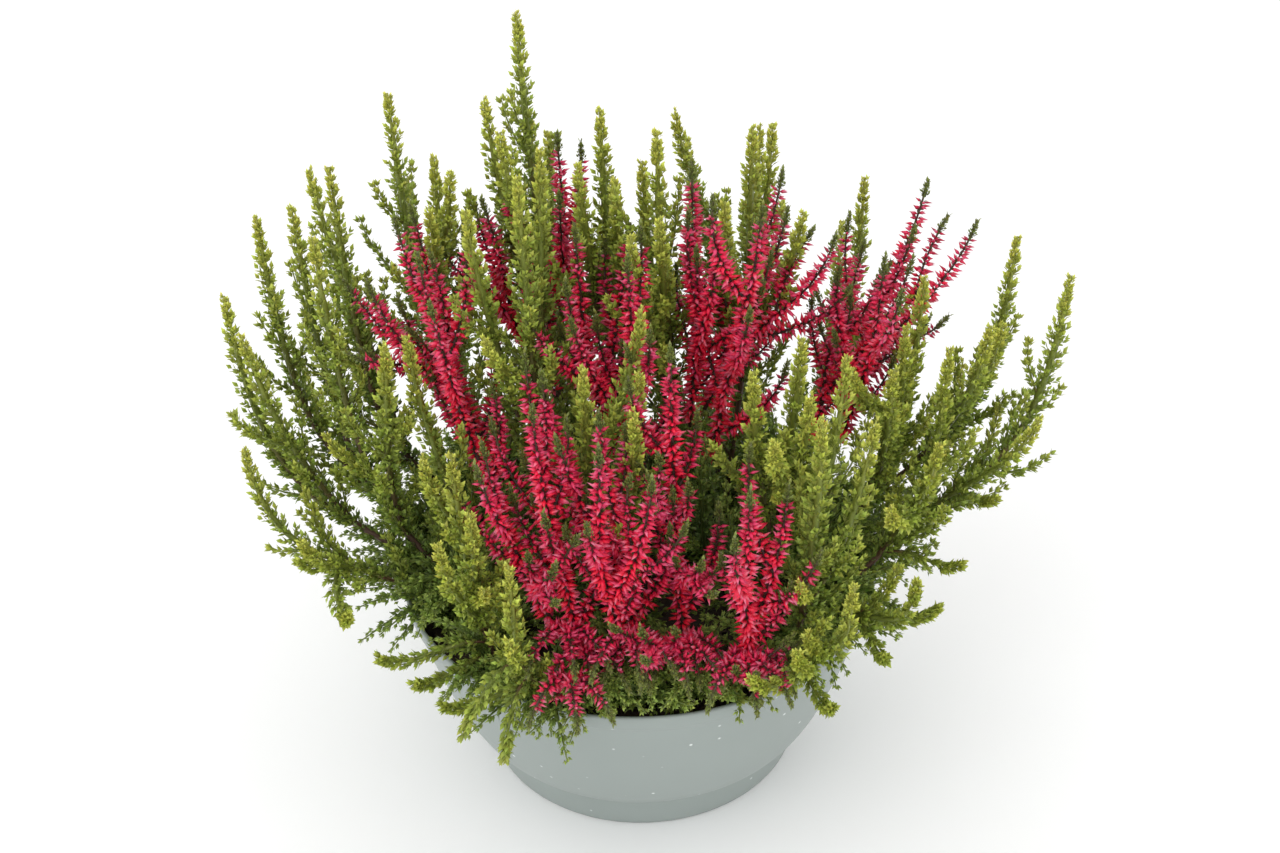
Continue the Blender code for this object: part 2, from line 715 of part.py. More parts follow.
def keep_outer_body(mesh):
    """Fills hollows that fusing sealed, and drops loose scraps."""
    bm = bmesh.new()
    bm.from_mesh(mesh)
    bmesh.ops.triangulate(bm, faces=bm.faces[:])
    waiting = set(bm.faces)
    bodies = []
    while waiting:
        found = {waiting.pop()}
        to_visit = list(found)
        while to_visit:
            face = to_visit.pop()
            near = {other for edge in face.edges for other in edge.link_faces} & waiting
            waiting -= near
            found |= near
            to_visit.extend(near)
        bodies.append(found)
    largest = max(bodies, key=len)
    spare = [face for body in bodies if body is not largest for face in body]
    bmesh.ops.delete(bm, geom=spare, context="FACES")
    bm.to_mesh(mesh)
    bm.free()
    return mesh


def split_head(stem):
    """The stem's lower line, and its upper line in flower, a seat gap apart."""
    start = flower_start(stem.line, stem.head_length)
    along = travelled(stem.line)
    low = np.concatenate((stem.line[along < start - SEAT_GAP],
                          [at_distance(stem.line, start - SEAT_GAP)]))
    high = np.concatenate(([at_distance(stem.line, start)], stem.line[along > start]))
    return low, high


def buried(line):
    """The line with its vertical foot in the stem's hole."""
    foot = line[0] - UP * STEM_BURIED
    neck = line[0] + UP * NECK_HEIGHT
    return np.concatenate(([foot, neck], line[1:]))


def make_plants(collection, shoots, materials):
    """One solid for each spray, each leafy base and each flower head."""
    lines = []
    for shoot in shoots:
        line = buried(shoot.line) if shoot.parent is None else shoot.line
        if shoot.head:
            low, high = split_head(shoot)
            if shoot.parent is None:
                low = buried(low)
            lines.append((shoot.node, low, shoot, "base"))
            lines.append((shoot.head, high, shoot, "head"))
        else:
            kind = "head" if shoot.node.startswith("crimson_spike") else "leafy"
            lines.append((shoot.node, line, shoot, kind))
    room = Room([(name, line) for name, line, _, _ in lines])
    nodes = {}
    for name, line, shoot, kind in lines:
        shoots_before = nodes.setdefault(name, [])
        turn = SHOOT_TURN * len(shoots_before)
        rooted = shoot.parent is None and kind != "head"
        bare = SPIKE_BARE if kind == "head" else shoot.bare + (STEM_BURIED if rooted else 0.0)
        if kind == "base":
            bare = min(bare, 0.5 * travelled(line)[-1])
        growth = BUDS if kind == "head" else TWIG_LEAVES if shoot.twig else LEAVES
        bare_at = bare_distances(bare, OUTER_BARE_STEP if shoot.outer else BARE_STEP, rooted)
        mesh = stem_mesh(name, line, bare, bare_at, growth, room, turn, flat_end=kind == "base")
        shoots_before.append(mesh)
    for name in sorted(nodes):
        material = materials["_".join(name.split("_")[:2])]
        fuse(name, nodes[name], collection, material)


def main():
    clear_scene()
    parts = new_collection("potted_heather")
    cutters = new_collection("cutters")
    plastic = new_material("blue-grey plastic", (0.30, 0.36, 0.38), 0.42)
    peat = new_material("potting soil", (0.03, 0.02, 0.014), 0.95)
    materials = {
        "green_spray": new_material("lime green leaves", (0.30, 0.40, 0.06), 0.6),
        "crimson_stem": new_material("dark green leaves", (0.10, 0.19, 0.04), 0.6),
        "crimson_spike": new_material("crimson buds", (0.62, 0.02, 0.08), 0.5),
    }
    make_bowl(parts, plastic)
    shoots = green_shoots() + red_shoots()
    roots = [shoot.line[0][:2] for shoot in shoots if shoot.parent is None]
    make_soil(parts, cutters, peat, roots)
    bend_clear(shoots)
    make_plants(parts, shoots, materials)


main()
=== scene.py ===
# %% [markdown]
# # A bowl of heather, green and crimson
#
# The real thing is a wide plastic bowl with bushy heather planted in it. Some plants are grown
# for their lime green leaves and some for their crimson buds. The CAD model comes in as a frame
# of plain solids, and this lesson dresses each of them with the fine leaves, buds, bark, peat
# and plastic that the eye expects.

import json
import math
from collections import namedtuple

import bpy
import numpy as np
from mathutils import Matrix

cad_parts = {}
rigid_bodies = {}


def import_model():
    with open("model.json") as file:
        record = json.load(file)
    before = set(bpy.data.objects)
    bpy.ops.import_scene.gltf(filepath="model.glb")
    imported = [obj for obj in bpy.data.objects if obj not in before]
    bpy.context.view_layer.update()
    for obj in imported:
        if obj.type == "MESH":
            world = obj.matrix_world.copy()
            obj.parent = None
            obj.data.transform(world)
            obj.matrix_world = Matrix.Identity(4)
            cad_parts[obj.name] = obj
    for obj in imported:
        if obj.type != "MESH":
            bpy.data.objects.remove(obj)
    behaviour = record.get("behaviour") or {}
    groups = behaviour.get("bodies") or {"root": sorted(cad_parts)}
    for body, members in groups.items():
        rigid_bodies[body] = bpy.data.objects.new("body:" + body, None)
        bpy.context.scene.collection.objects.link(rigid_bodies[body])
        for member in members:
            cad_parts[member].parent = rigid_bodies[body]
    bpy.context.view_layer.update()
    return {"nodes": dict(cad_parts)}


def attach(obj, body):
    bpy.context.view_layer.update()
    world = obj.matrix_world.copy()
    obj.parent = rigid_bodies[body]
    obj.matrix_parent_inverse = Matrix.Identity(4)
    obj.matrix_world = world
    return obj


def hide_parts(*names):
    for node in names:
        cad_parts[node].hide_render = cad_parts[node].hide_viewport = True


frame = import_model()

# %% [markdown]
# ## The camera
#
# The picture looks down on the bowl at about 35 degrees, from about a metre away. A camera
# can be aimed with a tracking rule or with plain angles. Plain angles are used, because the
# picture is also turned by a degree or so about the line of sight, and a rule would undo that.

# %% Camera
SIGHT_DOWN = math.radians(34.69)
SIGHT_ROLL = math.radians(-1.37)
CAMERA_PLACE = (0.002, -0.739, 0.693)
LENS = 54.31

camera_data = bpy.data.cameras.new("camera")
camera_data.sensor_width = 36.0
camera_data.lens = LENS
camera = bpy.data.objects.new("camera", camera_data)
bpy.context.scene.collection.objects.link(camera)
tilt = Matrix.Rotation(math.pi / 2 - SIGHT_DOWN, 4, "X") @ Matrix.Rotation(SIGHT_ROLL, 4, "Z")
camera.matrix_world = Matrix.Translation(CAMERA_PLACE) @ tilt
bpy.context.scene.camera = camera
print("camera at", [round(v, 3) for v in camera.location])

# %% [markdown]
# ## Floor and light
#
# The bowl stands in a white studio. A white floor, a white sky and one large soft lamp from the
# upper left give pale shadows. More lamps would draw several shadows, which a white studio does
# not show. Blender's usual view bends bright tones towards grey, so the Standard view is set: it
# keeps the white floor white and the crimson pure.


# %% A plain material and the floor
def plain_material(name, colour, roughness):
    material = bpy.data.materials.new(name)
    material.use_nodes = True
    shader = material.node_tree.nodes["Principled BSDF"]
    shader.inputs["Base Color"].default_value = (*colour, 1.0)
    shader.inputs["Roughness"].default_value = roughness
    return material


def studio_floor(size):
    mesh = bpy.data.meshes.new("studio_floor")
    corners = [(-size, -size, 0.0), (size, -size, 0.0), (size, size, 0.0), (-size, size, 0.0)]
    mesh.from_pydata(corners, [], [(0, 1, 2, 3)])
    mesh.materials.append(plain_material("white floor", (0.96, 0.96, 0.96), 0.7))
    floor = bpy.data.objects.new("studio_floor", mesh)
    bpy.context.scene.collection.objects.link(floor)
    return floor


floor = studio_floor(20.0)
print("floor:", floor.name)


# %% Sky, lamp and view
def soft_lamp(name, place, aim, size, watts):
    data = bpy.data.lights.new(name, "AREA")
    data.shape = "DISK"
    data.size = size
    data.energy = watts
    lamp = bpy.data.objects.new(name, data)
    bpy.context.scene.collection.objects.link(lamp)
    way = np.array(aim) - np.array(place)
    turn_z = math.atan2(way[1], way[0]) - math.pi / 2
    turn_x = math.atan2(math.hypot(way[0], way[1]), -way[2])
    lamp.location = place
    lamp.rotation_euler = (turn_x, 0.0, turn_z)
    return lamp


sky = bpy.data.worlds.new("white studio")
bpy.context.scene.world = sky
sky.use_nodes = True
sky.node_tree.nodes["Background"].inputs["Color"].default_value = (1.0, 1.0, 1.0, 1.0)
sky.node_tree.nodes["Background"].inputs["Strength"].default_value = 1.12
lamp = soft_lamp("key", place=(-0.8, -1.0, 1.7), aim=(0.0, 0.0, 0.15), size=1.4, watts=6.5)
bpy.context.scene.view_settings.view_transform = "Standard"
print("lamp at", [round(v, 2) for v in lamp.location])

# %% [markdown]
# ## Lines that the stems follow
#
# Each stem leaves the soil outwards and then turns up to its tip. The solids were made along
# such lines, so the same roots and tips are repeated here, and the same rule bends neighbours
# clear of each other. Reading the lines back from the solids would be harder and less exact.

# %% Roots, tips and heads
SOIL_TOP = 0.092
RIM_RADIUS = 0.115
BOWL_HEIGHT = 0.105

# Each spray's root x and y, then its tips. A fourth number is where on the main stem it forks.
GREEN_SPRAYS = (
    ((-.030, .040), (-.049, .070, .358), (-.062, .045, .326), (-.054, .010, .329)),
    ((-.062, .035), (-.104, .070, .321), (-.092, .066, .290, .45), (-.085, .010, .294),
     (-.075, .015, .308)),
    ((-.042, -.008), (-.048, -.015, .322), (-.067, -.020, .308), (-.039, .005, .322),
     (-.063, -.050, .267)),
    ((-.086, .052), (-.134, .040, .300), (-.152, .070, .281)),
    ((-.098, .022), (-.169, .040, .275), (-.158, .056, .270)),
    ((-.101, -.006), (-.183, .010, .250), (-.175, -.006, .238)),
    ((-.078, -.022), (-.136, -.010, .291), (-.105, -.050, .261)),
    ((-.060, -.048), (-.095, -.030, .255), (-.087, -.080, .223)),
    ((-.064, -.076), (-.073, -.085, .227), (-.080, -.105, .200), (-.070, -.108, .212),
     (-.116, -.094, .124, .20), (-.099, -.110, .122, .13)),
    ((-.094, -.034), (-.177, -.025, .188), (-.150, -.062, .160), (-.128, -.092, .142),
     (-.158, -.040, .132, .34)),
    ((-.042, -.092), (-.053, -.115, .193), (-.086, -.120, .122), (-.060, -.128, .096),
     (-.076, -.134, .117)),
    ((-.008, .052), (-.013, .040, .323), (-.012, .020, .300), (-.023, .010, .315)),
    ((.016, .034), (.012, .010, .326), (.006, .035, .300), (-.001, -.015, .294),
     (.011, -.015, .297)),
    ((.044, .046), (.057, .040, .313), (.064, .055, .307), (.048, -.005, .294),
     (.070, -.010, .293)),
    ((-.004, -.046), (-.016, -.075, .259), (-.010, -.090, .249), (.003, -.070, .255),
     (.007, -.045, .272)),
    ((.056, -.028), (.070, -.055, .257), (.053, -.075, .257), (.068, -.085, .248),
     (.058, -.105, .245)),
    ((.070, -.060), (.073, -.100, .252), (.095, -.080, .238), (.090, -.050, .250)),
    ((.080, -.006), (.132, .005, .254), (.111, -.045, .240), (.118, -.020, .244),
     (.098, -.040, .235)),
    ((.092, -.034), (.140, -.020, .232), (.130, -.060, .207), (.108, -.090, .199),
     (.148, -.050, .132, .26)),
    ((.098, .026), (.178, .040, .254), (.158, -.015, .239), (.169, .010, .225)),
    ((.099, -.004), (.197, .010, .250), (.182, -.025, .194), (.170, -.012, .138, .30)),
    ((.061, -.078), (.090, -.115, .175), (.060, -.127, .160), (.047, -.137, .150),
     (.080, -.128, .120, .20)),
    ((.081, -.053), (.122, -.085, .150), (.134, -.076, .130), (.108, -.102, .120)),
    ((-.022, .086), (-.040, .150, .260), (-.010, .165, .225), (-.048, .126, .285)),
    ((.034, .088), (.065, .140, .265), (.030, .150, .255), (.022, .118, .285)),
    ((-.067, .072), (-.110, .120, .250), (-.085, .150, .210), (-.132, .096, .200)),
    ((.072, .067), (.115, .110, .250), (.110, .145, .205), (.140, .088, .200)),
)

# Each plant's root, then its heads: the fork's share, the length in flower, and the tips
RED_PLANTS = (
    ((-.034, -.036), (0, .150, (-.096, -.015, .287)),
     (.30, .130, (-.107, -.005, .293), (-.114, -.012, .271), (-.125, -.020, .237))),
    ((-.036, .014), (0, .130, (-.042, .055, .305), (-.033, .020, .292)),
     (.30, .110, (-.066, .045, .280), (-.074, .020, .275))),
    ((-.010, .004), (0, .140, (-.005, -.035, .292), (-.027, -.040, .269)),
     (.30, .120, (-.018, .000, .292), (.002, .010, .284))),
    ((.034, .000), (0, .170, (.026, .010, .312), (.039, -.010, .289)),
     (.22, .170, (.054, -.018, .307)),
     (.32, .150, (.070, .035, .294), (.079, .005, .287))),
    ((.072, .026), (0, .130, (.108, .010, .271), (.094, .018, .256)),
     (.24, .120, (.116, .020, .262), (.131, .035, .248)),
     (.34, .140, (.141, .045, .280), (.155, .040, .266))),
    ((-.020, -.094), (0, .160, (-.047, -.085, .256), (-.052, -.055, .259)),
     (.12, .130, (-.066, -.082, .231), (-.031, -.120, .198)),
     (.09, .050, (-.045, -.124, .132))),
    ((.003, -.096), (0, .160, (-.014, -.085, .253), (-.033, -.078, .257)),
     (.12, .150, (-.006, -.112, .252), (.005, -.112, .238))),
    ((.024, -.092), (0, .170, (.013, -.075, .273), (.026, -.112, .190), (.004, -.098, .226)),
     (.09, .075, (.000, -.127, .168))),
    ((.045, -.086), (0, .140, (.054, -.110, .229), (.064, -.105, .221)),
     (.11, .040, (.042, -.122, .142), (.072, -.112, .143))),
)
print("green sprays:", len(GREEN_SPRAYS), "crimson plants:", len(RED_PLANTS))

# %% [markdown]
# ### How a stem curves
#
# A heather stem bends smoothly, without a kink. It could be drawn as one of Blender's curve
# objects, but leaves have to be set along it, and stems have to be compared point by point. So
# the curve is worked out as plain numbers from its two ends and two handles, as Blender does
# it, and then cut into steps of equal length.

# %% Curves in steps of equal length
LINE_STEP = 0.008
CURVE_SAMPLES = 200
UP = np.array((0.0, 0.0, 1.0))
FLAT = np.array((1.0, 1.0, 0.0))


def unit(vector):
    return vector / np.linalg.norm(vector, axis=-1, keepdims=True)


def travelled(line):
    steps = np.linalg.norm(np.diff(line, axis=0), axis=1)
    return np.concatenate(([0.0], np.cumsum(steps)))


def at_distance(line, distance):
    along = travelled(line)
    return np.stack([np.interp(distance, along, line[:, k]) for k in range(3)], axis=-1)


def even_steps(line):
    total = travelled(line)[-1]
    count = max(4, round(total / LINE_STEP) + 1)
    return at_distance(line, np.linspace(0.0, total, count))


def bezier(start, start_handle, end_handle, end):
    share = np.linspace(0.0, 1.0, CURVE_SAMPLES)[:, None]
    rest = 1.0 - share
    curve = rest ** 3 * start + 3 * rest ** 2 * share * start_handle
    curve = curve + 3 * rest * share ** 2 * end_handle + share ** 3 * end
    return even_steps(curve)


sample = bezier(0.0 * UP, 0.1 * UP, 0.1 * FLAT + 0.1 * UP, 0.1 * FLAT + 0.2 * UP)
print("a sample curve:", len(sample), "points,", round(travelled(sample)[-1], 3), "m")

# %% Main stems and side shoots
RIM_ROOT_REACH = 0.078
# A main stem's curve is pulled at its start by shares of its reach and climb and by a lift,
# and at its tip by shares of its reach and climb. By the rim it goes out first and then up.
RIM_PULL = (0.45, 0.0, 0.045, 0.06, 0.85)
INNER_PULL = (0.40, 0.16, 0.028, 0.10, 0.42)
# A side shoot's curve: how hard it is pulled and how much it turns, at its start and at its tip
LOOK_AHEAD = 0.04
SIDE_PULL = (0.30, 0.8, 0.32, 0.6)


def near_rim(root):
    return math.hypot(*root) > RIM_ROOT_REACH


def main_line(root, tip):
    start = np.array((*root, SOIL_TOP))
    tip = np.array(tip)
    climb = tip[2] - start[2]
    reach = (tip - start) * FLAT
    out, rise, lift, back, drop = RIM_PULL if near_rim(root) else INNER_PULL
    start_handle = start + out * reach + UP * (rise * climb + lift)
    end_handle = tip - back * reach - UP * drop * climb
    return bezier(start, start_handle, end_handle, tip)


def side_line(parent, share, tip):
    total = travelled(parent)[-1]
    start = at_distance(parent, share * total)
    ahead = unit(at_distance(parent, min(1.0, share + LOOK_AHEAD) * total) - start)
    tip = np.array(tip)
    span = np.linalg.norm(tip - start)
    direct = unit(tip - start)
    start_pull, start_turn, end_pull, end_turn = SIDE_PULL
    start_handle = start + start_pull * span * unit(ahead + start_turn * direct)
    end_handle = tip - end_pull * span * unit(UP * np.sign(tip[2] - start[2]) + end_turn * direct)
    return bezier(start, start_handle, end_handle, tip)


print("a sample stem is", round(travelled(main_line((0.0, 0.0), (0.05, 0.0, 0.3)))[-1], 3), "m")

# %% [markdown]
# ## One shoot for each tip
#
# A heather plant is a main stem with side shoots. Each shoot needs its line, the solid that it
# belongs to, and how much of it is bare wood. A small class holds these, which reads better
# than parallel lists.

# %% Shoots
LEAF_REACH = 0.0066
TWIG_REACH = 0.0055
BUD_REACH = 0.0080
FORK_BARE = 0.008


class Shoot:
    """One stem's line, the solid that it belongs to, and how much of it is bare."""

    def __init__(self, node, plant, line, parent=None, fork=0.0):
        self.node, self.plant, self.line = node, plant, line
        self.parent, self.fork = parent, fork
        self.reach, self.bare = LEAF_REACH, FORK_BARE
        self.head, self.head_length = None, 0.0


def twig(main, fork, length, lean):
    """A short side shoot that leans outwards, sideways and upwards by the lean's numbers."""
    outward = unit(main.line[-1] * FLAT)
    start = at_distance(main.line, fork * travelled(main.line)[-1])
    way = unit(lean[0] * outward + lean[1] * np.cross(UP, outward) + lean[2] * UP)
    side = Shoot(main.node, main.plant, side_line(main.line, fork, start + length * way), main,
                 fork)
    side.reach = TWIG_REACH
    return side


print("leaves reach", 1000 * LEAF_REACH, "mm and buds", 1000 * BUD_REACH, "mm from the stem")

# %% Green shoots
INNER_LEAFY = 0.110
GREEN_BARE = 0.034
FIRST_FORK, NEXT_FORK = 0.24, 0.13


def leafless(line, least, outer):
    """The length below the dense leaves, which inner shoots have only near their tips."""
    return least if outer else max(least, travelled(line)[-1] - INNER_LEAFY)


def green_shoots():
    shoots = []
    for number, (root, *tips) in enumerate(GREEN_SPRAYS, 1):
        node = f"green_spray_{number:02d}"
        outer = near_rim(root)
        main = Shoot(node, node, main_line(root, tips[0]))
        main.bare = leafless(main.line, GREEN_BARE, outer)
        shoots.append(main)
        for k, tip in enumerate(tips[1:]):
            fork = tip[3] if len(tip) > 3 else FIRST_FORK + NEXT_FORK * k
            side = Shoot(node, node, side_line(main.line, fork, tip[:3]), main, fork)
            side.bare = leafless(side.line, FORK_BARE, outer)
            shoots.append(side)
        if outer:
            sway = math.sin(9.0 * root[0] / RIM_RADIUS)
            shoots.append(twig(main, fork=0.38, length=0.042, lean=(0.55, 0.8 * sway, 1.0)))
    return shoots


shoots = green_shoots()
print("green shoots:", len(shoots))

# %% Crimson shoots
RED_BARE = 0.016
STUB_LENGTH = 0.022
HEAD_GAP = 0.012
FRONT = -0.060


def flower_start(line, flower_length):
    return max(travelled(line)[-1] - flower_length, STUB_LENGTH)


def red_shoots():
    shoots = []
    head_number = 0
    for number, (root, *heads) in enumerate(RED_PLANTS, 1):
        node = f"crimson_stem_{number:02d}"
        first = None
        last_fork = max(head[0] for head in heads)
        for fork, length, tip, *side_tips in heads:
            head_number += 1
            line = side_line(first.line, fork, tip) if first else main_line(root, tip)
            total = travelled(line)[-1]
            if first is None:
                length = min(length, (1.0 - last_fork) * total - HEAD_GAP)
            stem = Shoot(node, node, line, first, fork)
            stem.bare = RED_BARE if first is None else FORK_BARE
            stem.head = f"crimson_spike_{head_number:02d}"
            stem.head_length = length
            stem.reach = BUD_REACH
            shoots.append(stem)
            first = first or stem
            head_start = flower_start(line, length) / total
            for k, side_tip in enumerate(side_tips):
                share = head_start + (1.0 - head_start) * (0.20 + 0.16 * k)
                side = Shoot(stem.head, node, side_line(line, share, side_tip), stem, share)
                side.reach = BUD_REACH
                shoots.append(side)
        if root[1] < FRONT:
            for fork, sway in ((0.07, 0.9), (0.11, -0.9)):
                shoots.append(twig(first, fork, length=0.038, lean=(0.9, sway, 0.45)))
    return shoots


shoots += red_shoots()
print("all shoots:", len(shoots))

# %% [markdown]
# ## Bending neighbours apart
#
# Shoots that would run through each other, or through the bowl, are pushed apart a little at a
# time, and each push is smoothed along the stem so that no kink shows. This is the rule that
# shaped the solids, with the same numbers, so the fine stems run inside the plain ones.

# %% Keeping off the bowl
WALL = 0.002
FOOT_TOP, FOOT_RADIUS = 0.021, 0.082
WALL_ROOM, SPARE_ROOM = 0.0030, 0.0010
OVER_RIM = 0.014


def wall_radius(height):
    share = np.clip((height - FOOT_TOP) / (BOWL_HEIGHT - FOOT_TOP), 0.0, 1.0)
    return FOOT_RADIUS + (RIM_RADIUS - FOOT_RADIUS) * share ** 0.6


def from_wall(points):
    """How far each point is outwards and upwards from the nearest place on the wall."""
    heights = np.linspace(0.0, BOWL_HEIGHT, 64)
    outwards = np.hypot(points[:, 0], points[:, 1])[:, None] - (wall_radius(heights) - 0.5 * WALL)
    upwards = points[:, 2][:, None] - heights
    nearest = np.hypot(outwards, upwards).argmin(axis=1)
    row = np.arange(len(points))
    return outwards[row, nearest], upwards[row, nearest]


def bowl_push(points, reach):
    """Pushes points off the wall, and up where they would cross the rim."""
    outwards, upwards = from_wall(points)
    distance = np.maximum(np.hypot(outwards, upwards), 1e-6)
    room = reach + WALL_ROOM + 0.5 * WALL + SPARE_ROOM
    short = np.maximum(0.0, room - distance)
    over_rim = (points[:, 2] > BOWL_HEIGHT - OVER_RIM) & (outwards < 0.5 * room)
    up = np.where(over_rim, 1.0, upwards / distance)
    out = np.where(over_rim, 0.0, outwards / distance)
    radial = points * FLAT
    radial = radial / np.maximum(np.linalg.norm(radial, axis=1), 1e-6)[:, None]
    return (short * out)[:, None] * radial + (short * up)[:, None] * UP


print("wall radius at half height:", round(float(wall_radius(0.5 * BOWL_HEIGHT)), 4), "m")

# %% Neighbours that may touch
STEM_RADIUS = 0.0015
LEAVES_BELOW, SLIM_END = 0.0170, 0.004
FORK_ZONE = 0.032
NEAR = 0.040
BLOCK = 256


def room_needed(shoot):
    along = travelled(shoot.line)
    leafy = (along > shoot.bare - LEAVES_BELOW) & (along[-1] - along > SLIM_END)
    return np.where(leafy, shoot.reach, STEM_RADIUS)


def near_pairs(place, owner, plant, along):
    """Pairs of near points on different shoots, but not where two of a plant fork."""
    ones, twos = [], []
    for k in range(0, len(place), BLOCK):
        block = slice(k, min(k + BLOCK, len(place)))
        distance = np.linalg.norm(place[block, None] - place[None], axis=2)
        one, two = np.nonzero(distance < NEAR)
        one = one + k
        forked = np.minimum(along[one], along[two]) < FORK_ZONE
        keep = (one < two) & (owner[one] != owner[two])
        keep &= ~((plant[one] == plant[two]) & forked)
        ones.append(one[keep])
        twos.append(two[keep])
    return np.concatenate(ones), np.concatenate(twos)


print("room for a leafy shoot:", 1000 * room_needed(shoots[0]).max(), "mm")

# %% Pushing apart
TURNS, RECHECK = 160, 10
CLEARANCE = 0.0008
PUSH_SHARE = 0.42
SMOOTHINGS = 2
FADE = 5


def fork_rows(shoots, first, sizes):
    """For each side shoot: its first row, its parent's row at the fork, and its size."""
    row = {id(shoot): k for k, shoot in enumerate(shoots)}
    rows = []
    for k, shoot in enumerate(shoots):
        if shoot.parent is not None:
            parent = row[id(shoot.parent)]
            rows.append((first[k], first[parent] + round(shoot.fork * (sizes[parent] - 1)),
                         sizes[k]))
    return rows


def pushed(place, reach, one, two):
    """The move of each point away from the neighbours that it is too close to."""
    apart = place[two] - place[one]
    distance = np.maximum(np.linalg.norm(apart, axis=1), 1e-6)
    short = reach[one] + reach[two] + CLEARANCE - distance
    tight = short > 0
    move = (PUSH_SHARE * short[tight] / distance[tight])[:, None] * apart[tight]
    push = np.zeros_like(place)
    np.add.at(push, one[tight], -move)
    np.add.at(push, two[tight], move)
    return push


def smoothed(shift, before, after, roots, forks):
    """Evens the shifts along each line, with the roots held and the forks kept together."""
    for _ in range(SMOOTHINGS):
        shift = 0.25 * shift[before] + 0.5 * shift + 0.25 * shift[after]
        shift[roots] = 0.0
        for begin, at, size in forks:
            fade = np.linspace(1.0, 0.0, min(size, FADE))[:, None]
            shift[begin:begin + len(fade)] += fade * (shift[at] - shift[begin])
    return shift


def bend_clear(shoots):
    sizes = [len(shoot.line) for shoot in shoots]
    first = np.concatenate(([0], np.cumsum(sizes)))[:-1]
    last = first + np.array(sizes) - 1
    start = np.concatenate([shoot.line for shoot in shoots])
    along = np.concatenate([travelled(shoot.line) for shoot in shoots])
    reach = np.concatenate([room_needed(shoot) for shoot in shoots])
    owner = np.concatenate([np.full(size, k) for k, size in enumerate(sizes)])
    plants = sorted({shoot.plant for shoot in shoots})
    plant = np.array([plants.index(shoots[k].plant) for k in owner])
    before = np.maximum(np.arange(len(start)) - 1, first[owner])
    after = np.minimum(np.arange(len(start)) + 1, last[owner])
    roots = [first[k] for k, shoot in enumerate(shoots) if shoot.parent is None]
    forks = fork_rows(shoots, first, sizes)
    ease = np.minimum(1.0, along / FORK_ZONE)
    shift = np.zeros_like(start)
    for turn in range(TURNS):
        place = start + shift
        if turn % RECHECK == 0:
            one, two = near_pairs(place, owner, plant, along)
        push = pushed(place, reach, one, two)
        shift = shift + push * ease[:, None] + bowl_push(place, reach)
        shift = smoothed(shift, before, after, roots, forks)
    place = start + shift
    for k, shoot in enumerate(shoots):
        shoot.line = place[first[k]:last[k] + 1].copy()
    for shoot in shoots:
        if shoot.parent is not None:
            total = travelled(shoot.parent.line)[-1]
            shoot.line[0] = at_distance(shoot.parent.line, shoot.fork * total)
    return np.linalg.norm(shift, axis=1).max()


print("largest bend:", round(1000 * bend_clear(shoots), 1), "mm")

# %% [markdown]
# ## Tiny solids, many times over
#
# A scale leaf is a small pointed kite with a keel underneath, and a bud is a small pod that is
# pointed at both ends. Both are closed solids of few faces, because there are very many of them.
# Placing thousands of separate objects would be slow, and instances are lost when the model is
# exported. So one small shape is copied in number arrays and joined into one mesh for each
# spray. Every copy also gets its own square on the texture map, so its colour can be baked.

# %% A leaf and a bud
Shape = namedtuple("Shape", "points faces soft")

LEAF = Shape(np.array([(0.0, 0.0, 0.0), (0.42, -0.5, -0.12), (0.42, 0.5, -0.12), (1.0, 0.0, 0.15)]),
             np.array([(0, 1, 3), (0, 3, 2), (0, 2, 1), (3, 1, 2)]), False)


def pod(belly, sides):
    """A closed pod along x, with a point at each end and its widest ring at belly."""
    points = [(0.0, 0.0, 0.0)]
    for k in range(sides):
        turn = 2 * math.pi * k / sides
        points.append((belly, math.cos(turn), math.sin(turn)))
    points.append((1.0, 0.0, 0.0))
    faces = []
    for k in range(sides):
        after = (k + 1) % sides
        faces.append((0, 1 + after, 1 + k))
        faces.append((sides + 1, 1 + k, 1 + after))
    return Shape(np.array(points), np.array(faces), True)


BUD = pod(0.42, 5)
print("a leaf has", len(LEAF.faces), "faces and a bud has", len(BUD.faces))


# %% A basket for small shapes
class Basket:
    """Gathers points, faces, colours and map squares until they become one mesh."""

    def __init__(self):
        self.points, self.faces, self.tints, self.soft = [], [], [], []
        self.cells = []
        self.count = 0
        self.cell_count = 0

    def add(self, points, faces, tints, soft, cells, spots):
        """cells number each face's map square, and spots are its corners' places in it."""
        self.points.append(points)
        self.faces.append(faces + self.count)
        self.tints.append(tints)
        self.soft.append(np.full(len(faces), soft))
        self.cells.append((cells + self.cell_count, spots))
        self.count += len(points)
        self.cell_count += int(cells.max()) + 1


print("an empty basket holds", Basket().count, "points")

# %% Copies of one shape
FOOT_SHADE, TIP_SHADE = 0.82, 0.36


def add_copies(basket, shape, place, way, back, length, width, tint, tip=None):
    """Copies of a shape: along way, with its back towards back, and darker at its foot."""
    way = unit(way)
    across = unit(np.cross(back, way))
    out = np.cross(way, across)
    x, y, z = shape.points.T
    points = (place[:, None] + way[:, None] * (x * length[:, None])[..., None]
              + across[:, None] * (y * width[:, None])[..., None]
              + out[:, None] * (z * width[:, None])[..., None])
    number = len(place)
    size = len(shape.points)
    faces = shape.faces[None] + size * np.arange(number)[:, None, None]
    tints = np.concatenate([tint, np.ones((number, 1))], axis=1)
    tints = np.repeat(tints[:, None], size, axis=1)
    tints[..., :3] *= (FOOT_SHADE + TIP_SHADE * x)[None, :, None]
    if tip is not None:
        tints[:, -1, :3] = tip
    cells = np.repeat(np.arange(number), len(shape.faces))
    corner = np.stack([x[shape.faces], 0.5 + 0.5 * y[shape.faces]], axis=-1)
    spots = np.tile(corner, (number, 1, 1))
    basket.add(points.reshape(-1, 3), faces.reshape(-1, 3), tints.reshape(-1, 4), shape.soft,
               cells, spots)


print("a copy is", FOOT_SHADE, "as bright at its foot and", FOOT_SHADE + TIP_SHADE, "at its tip")

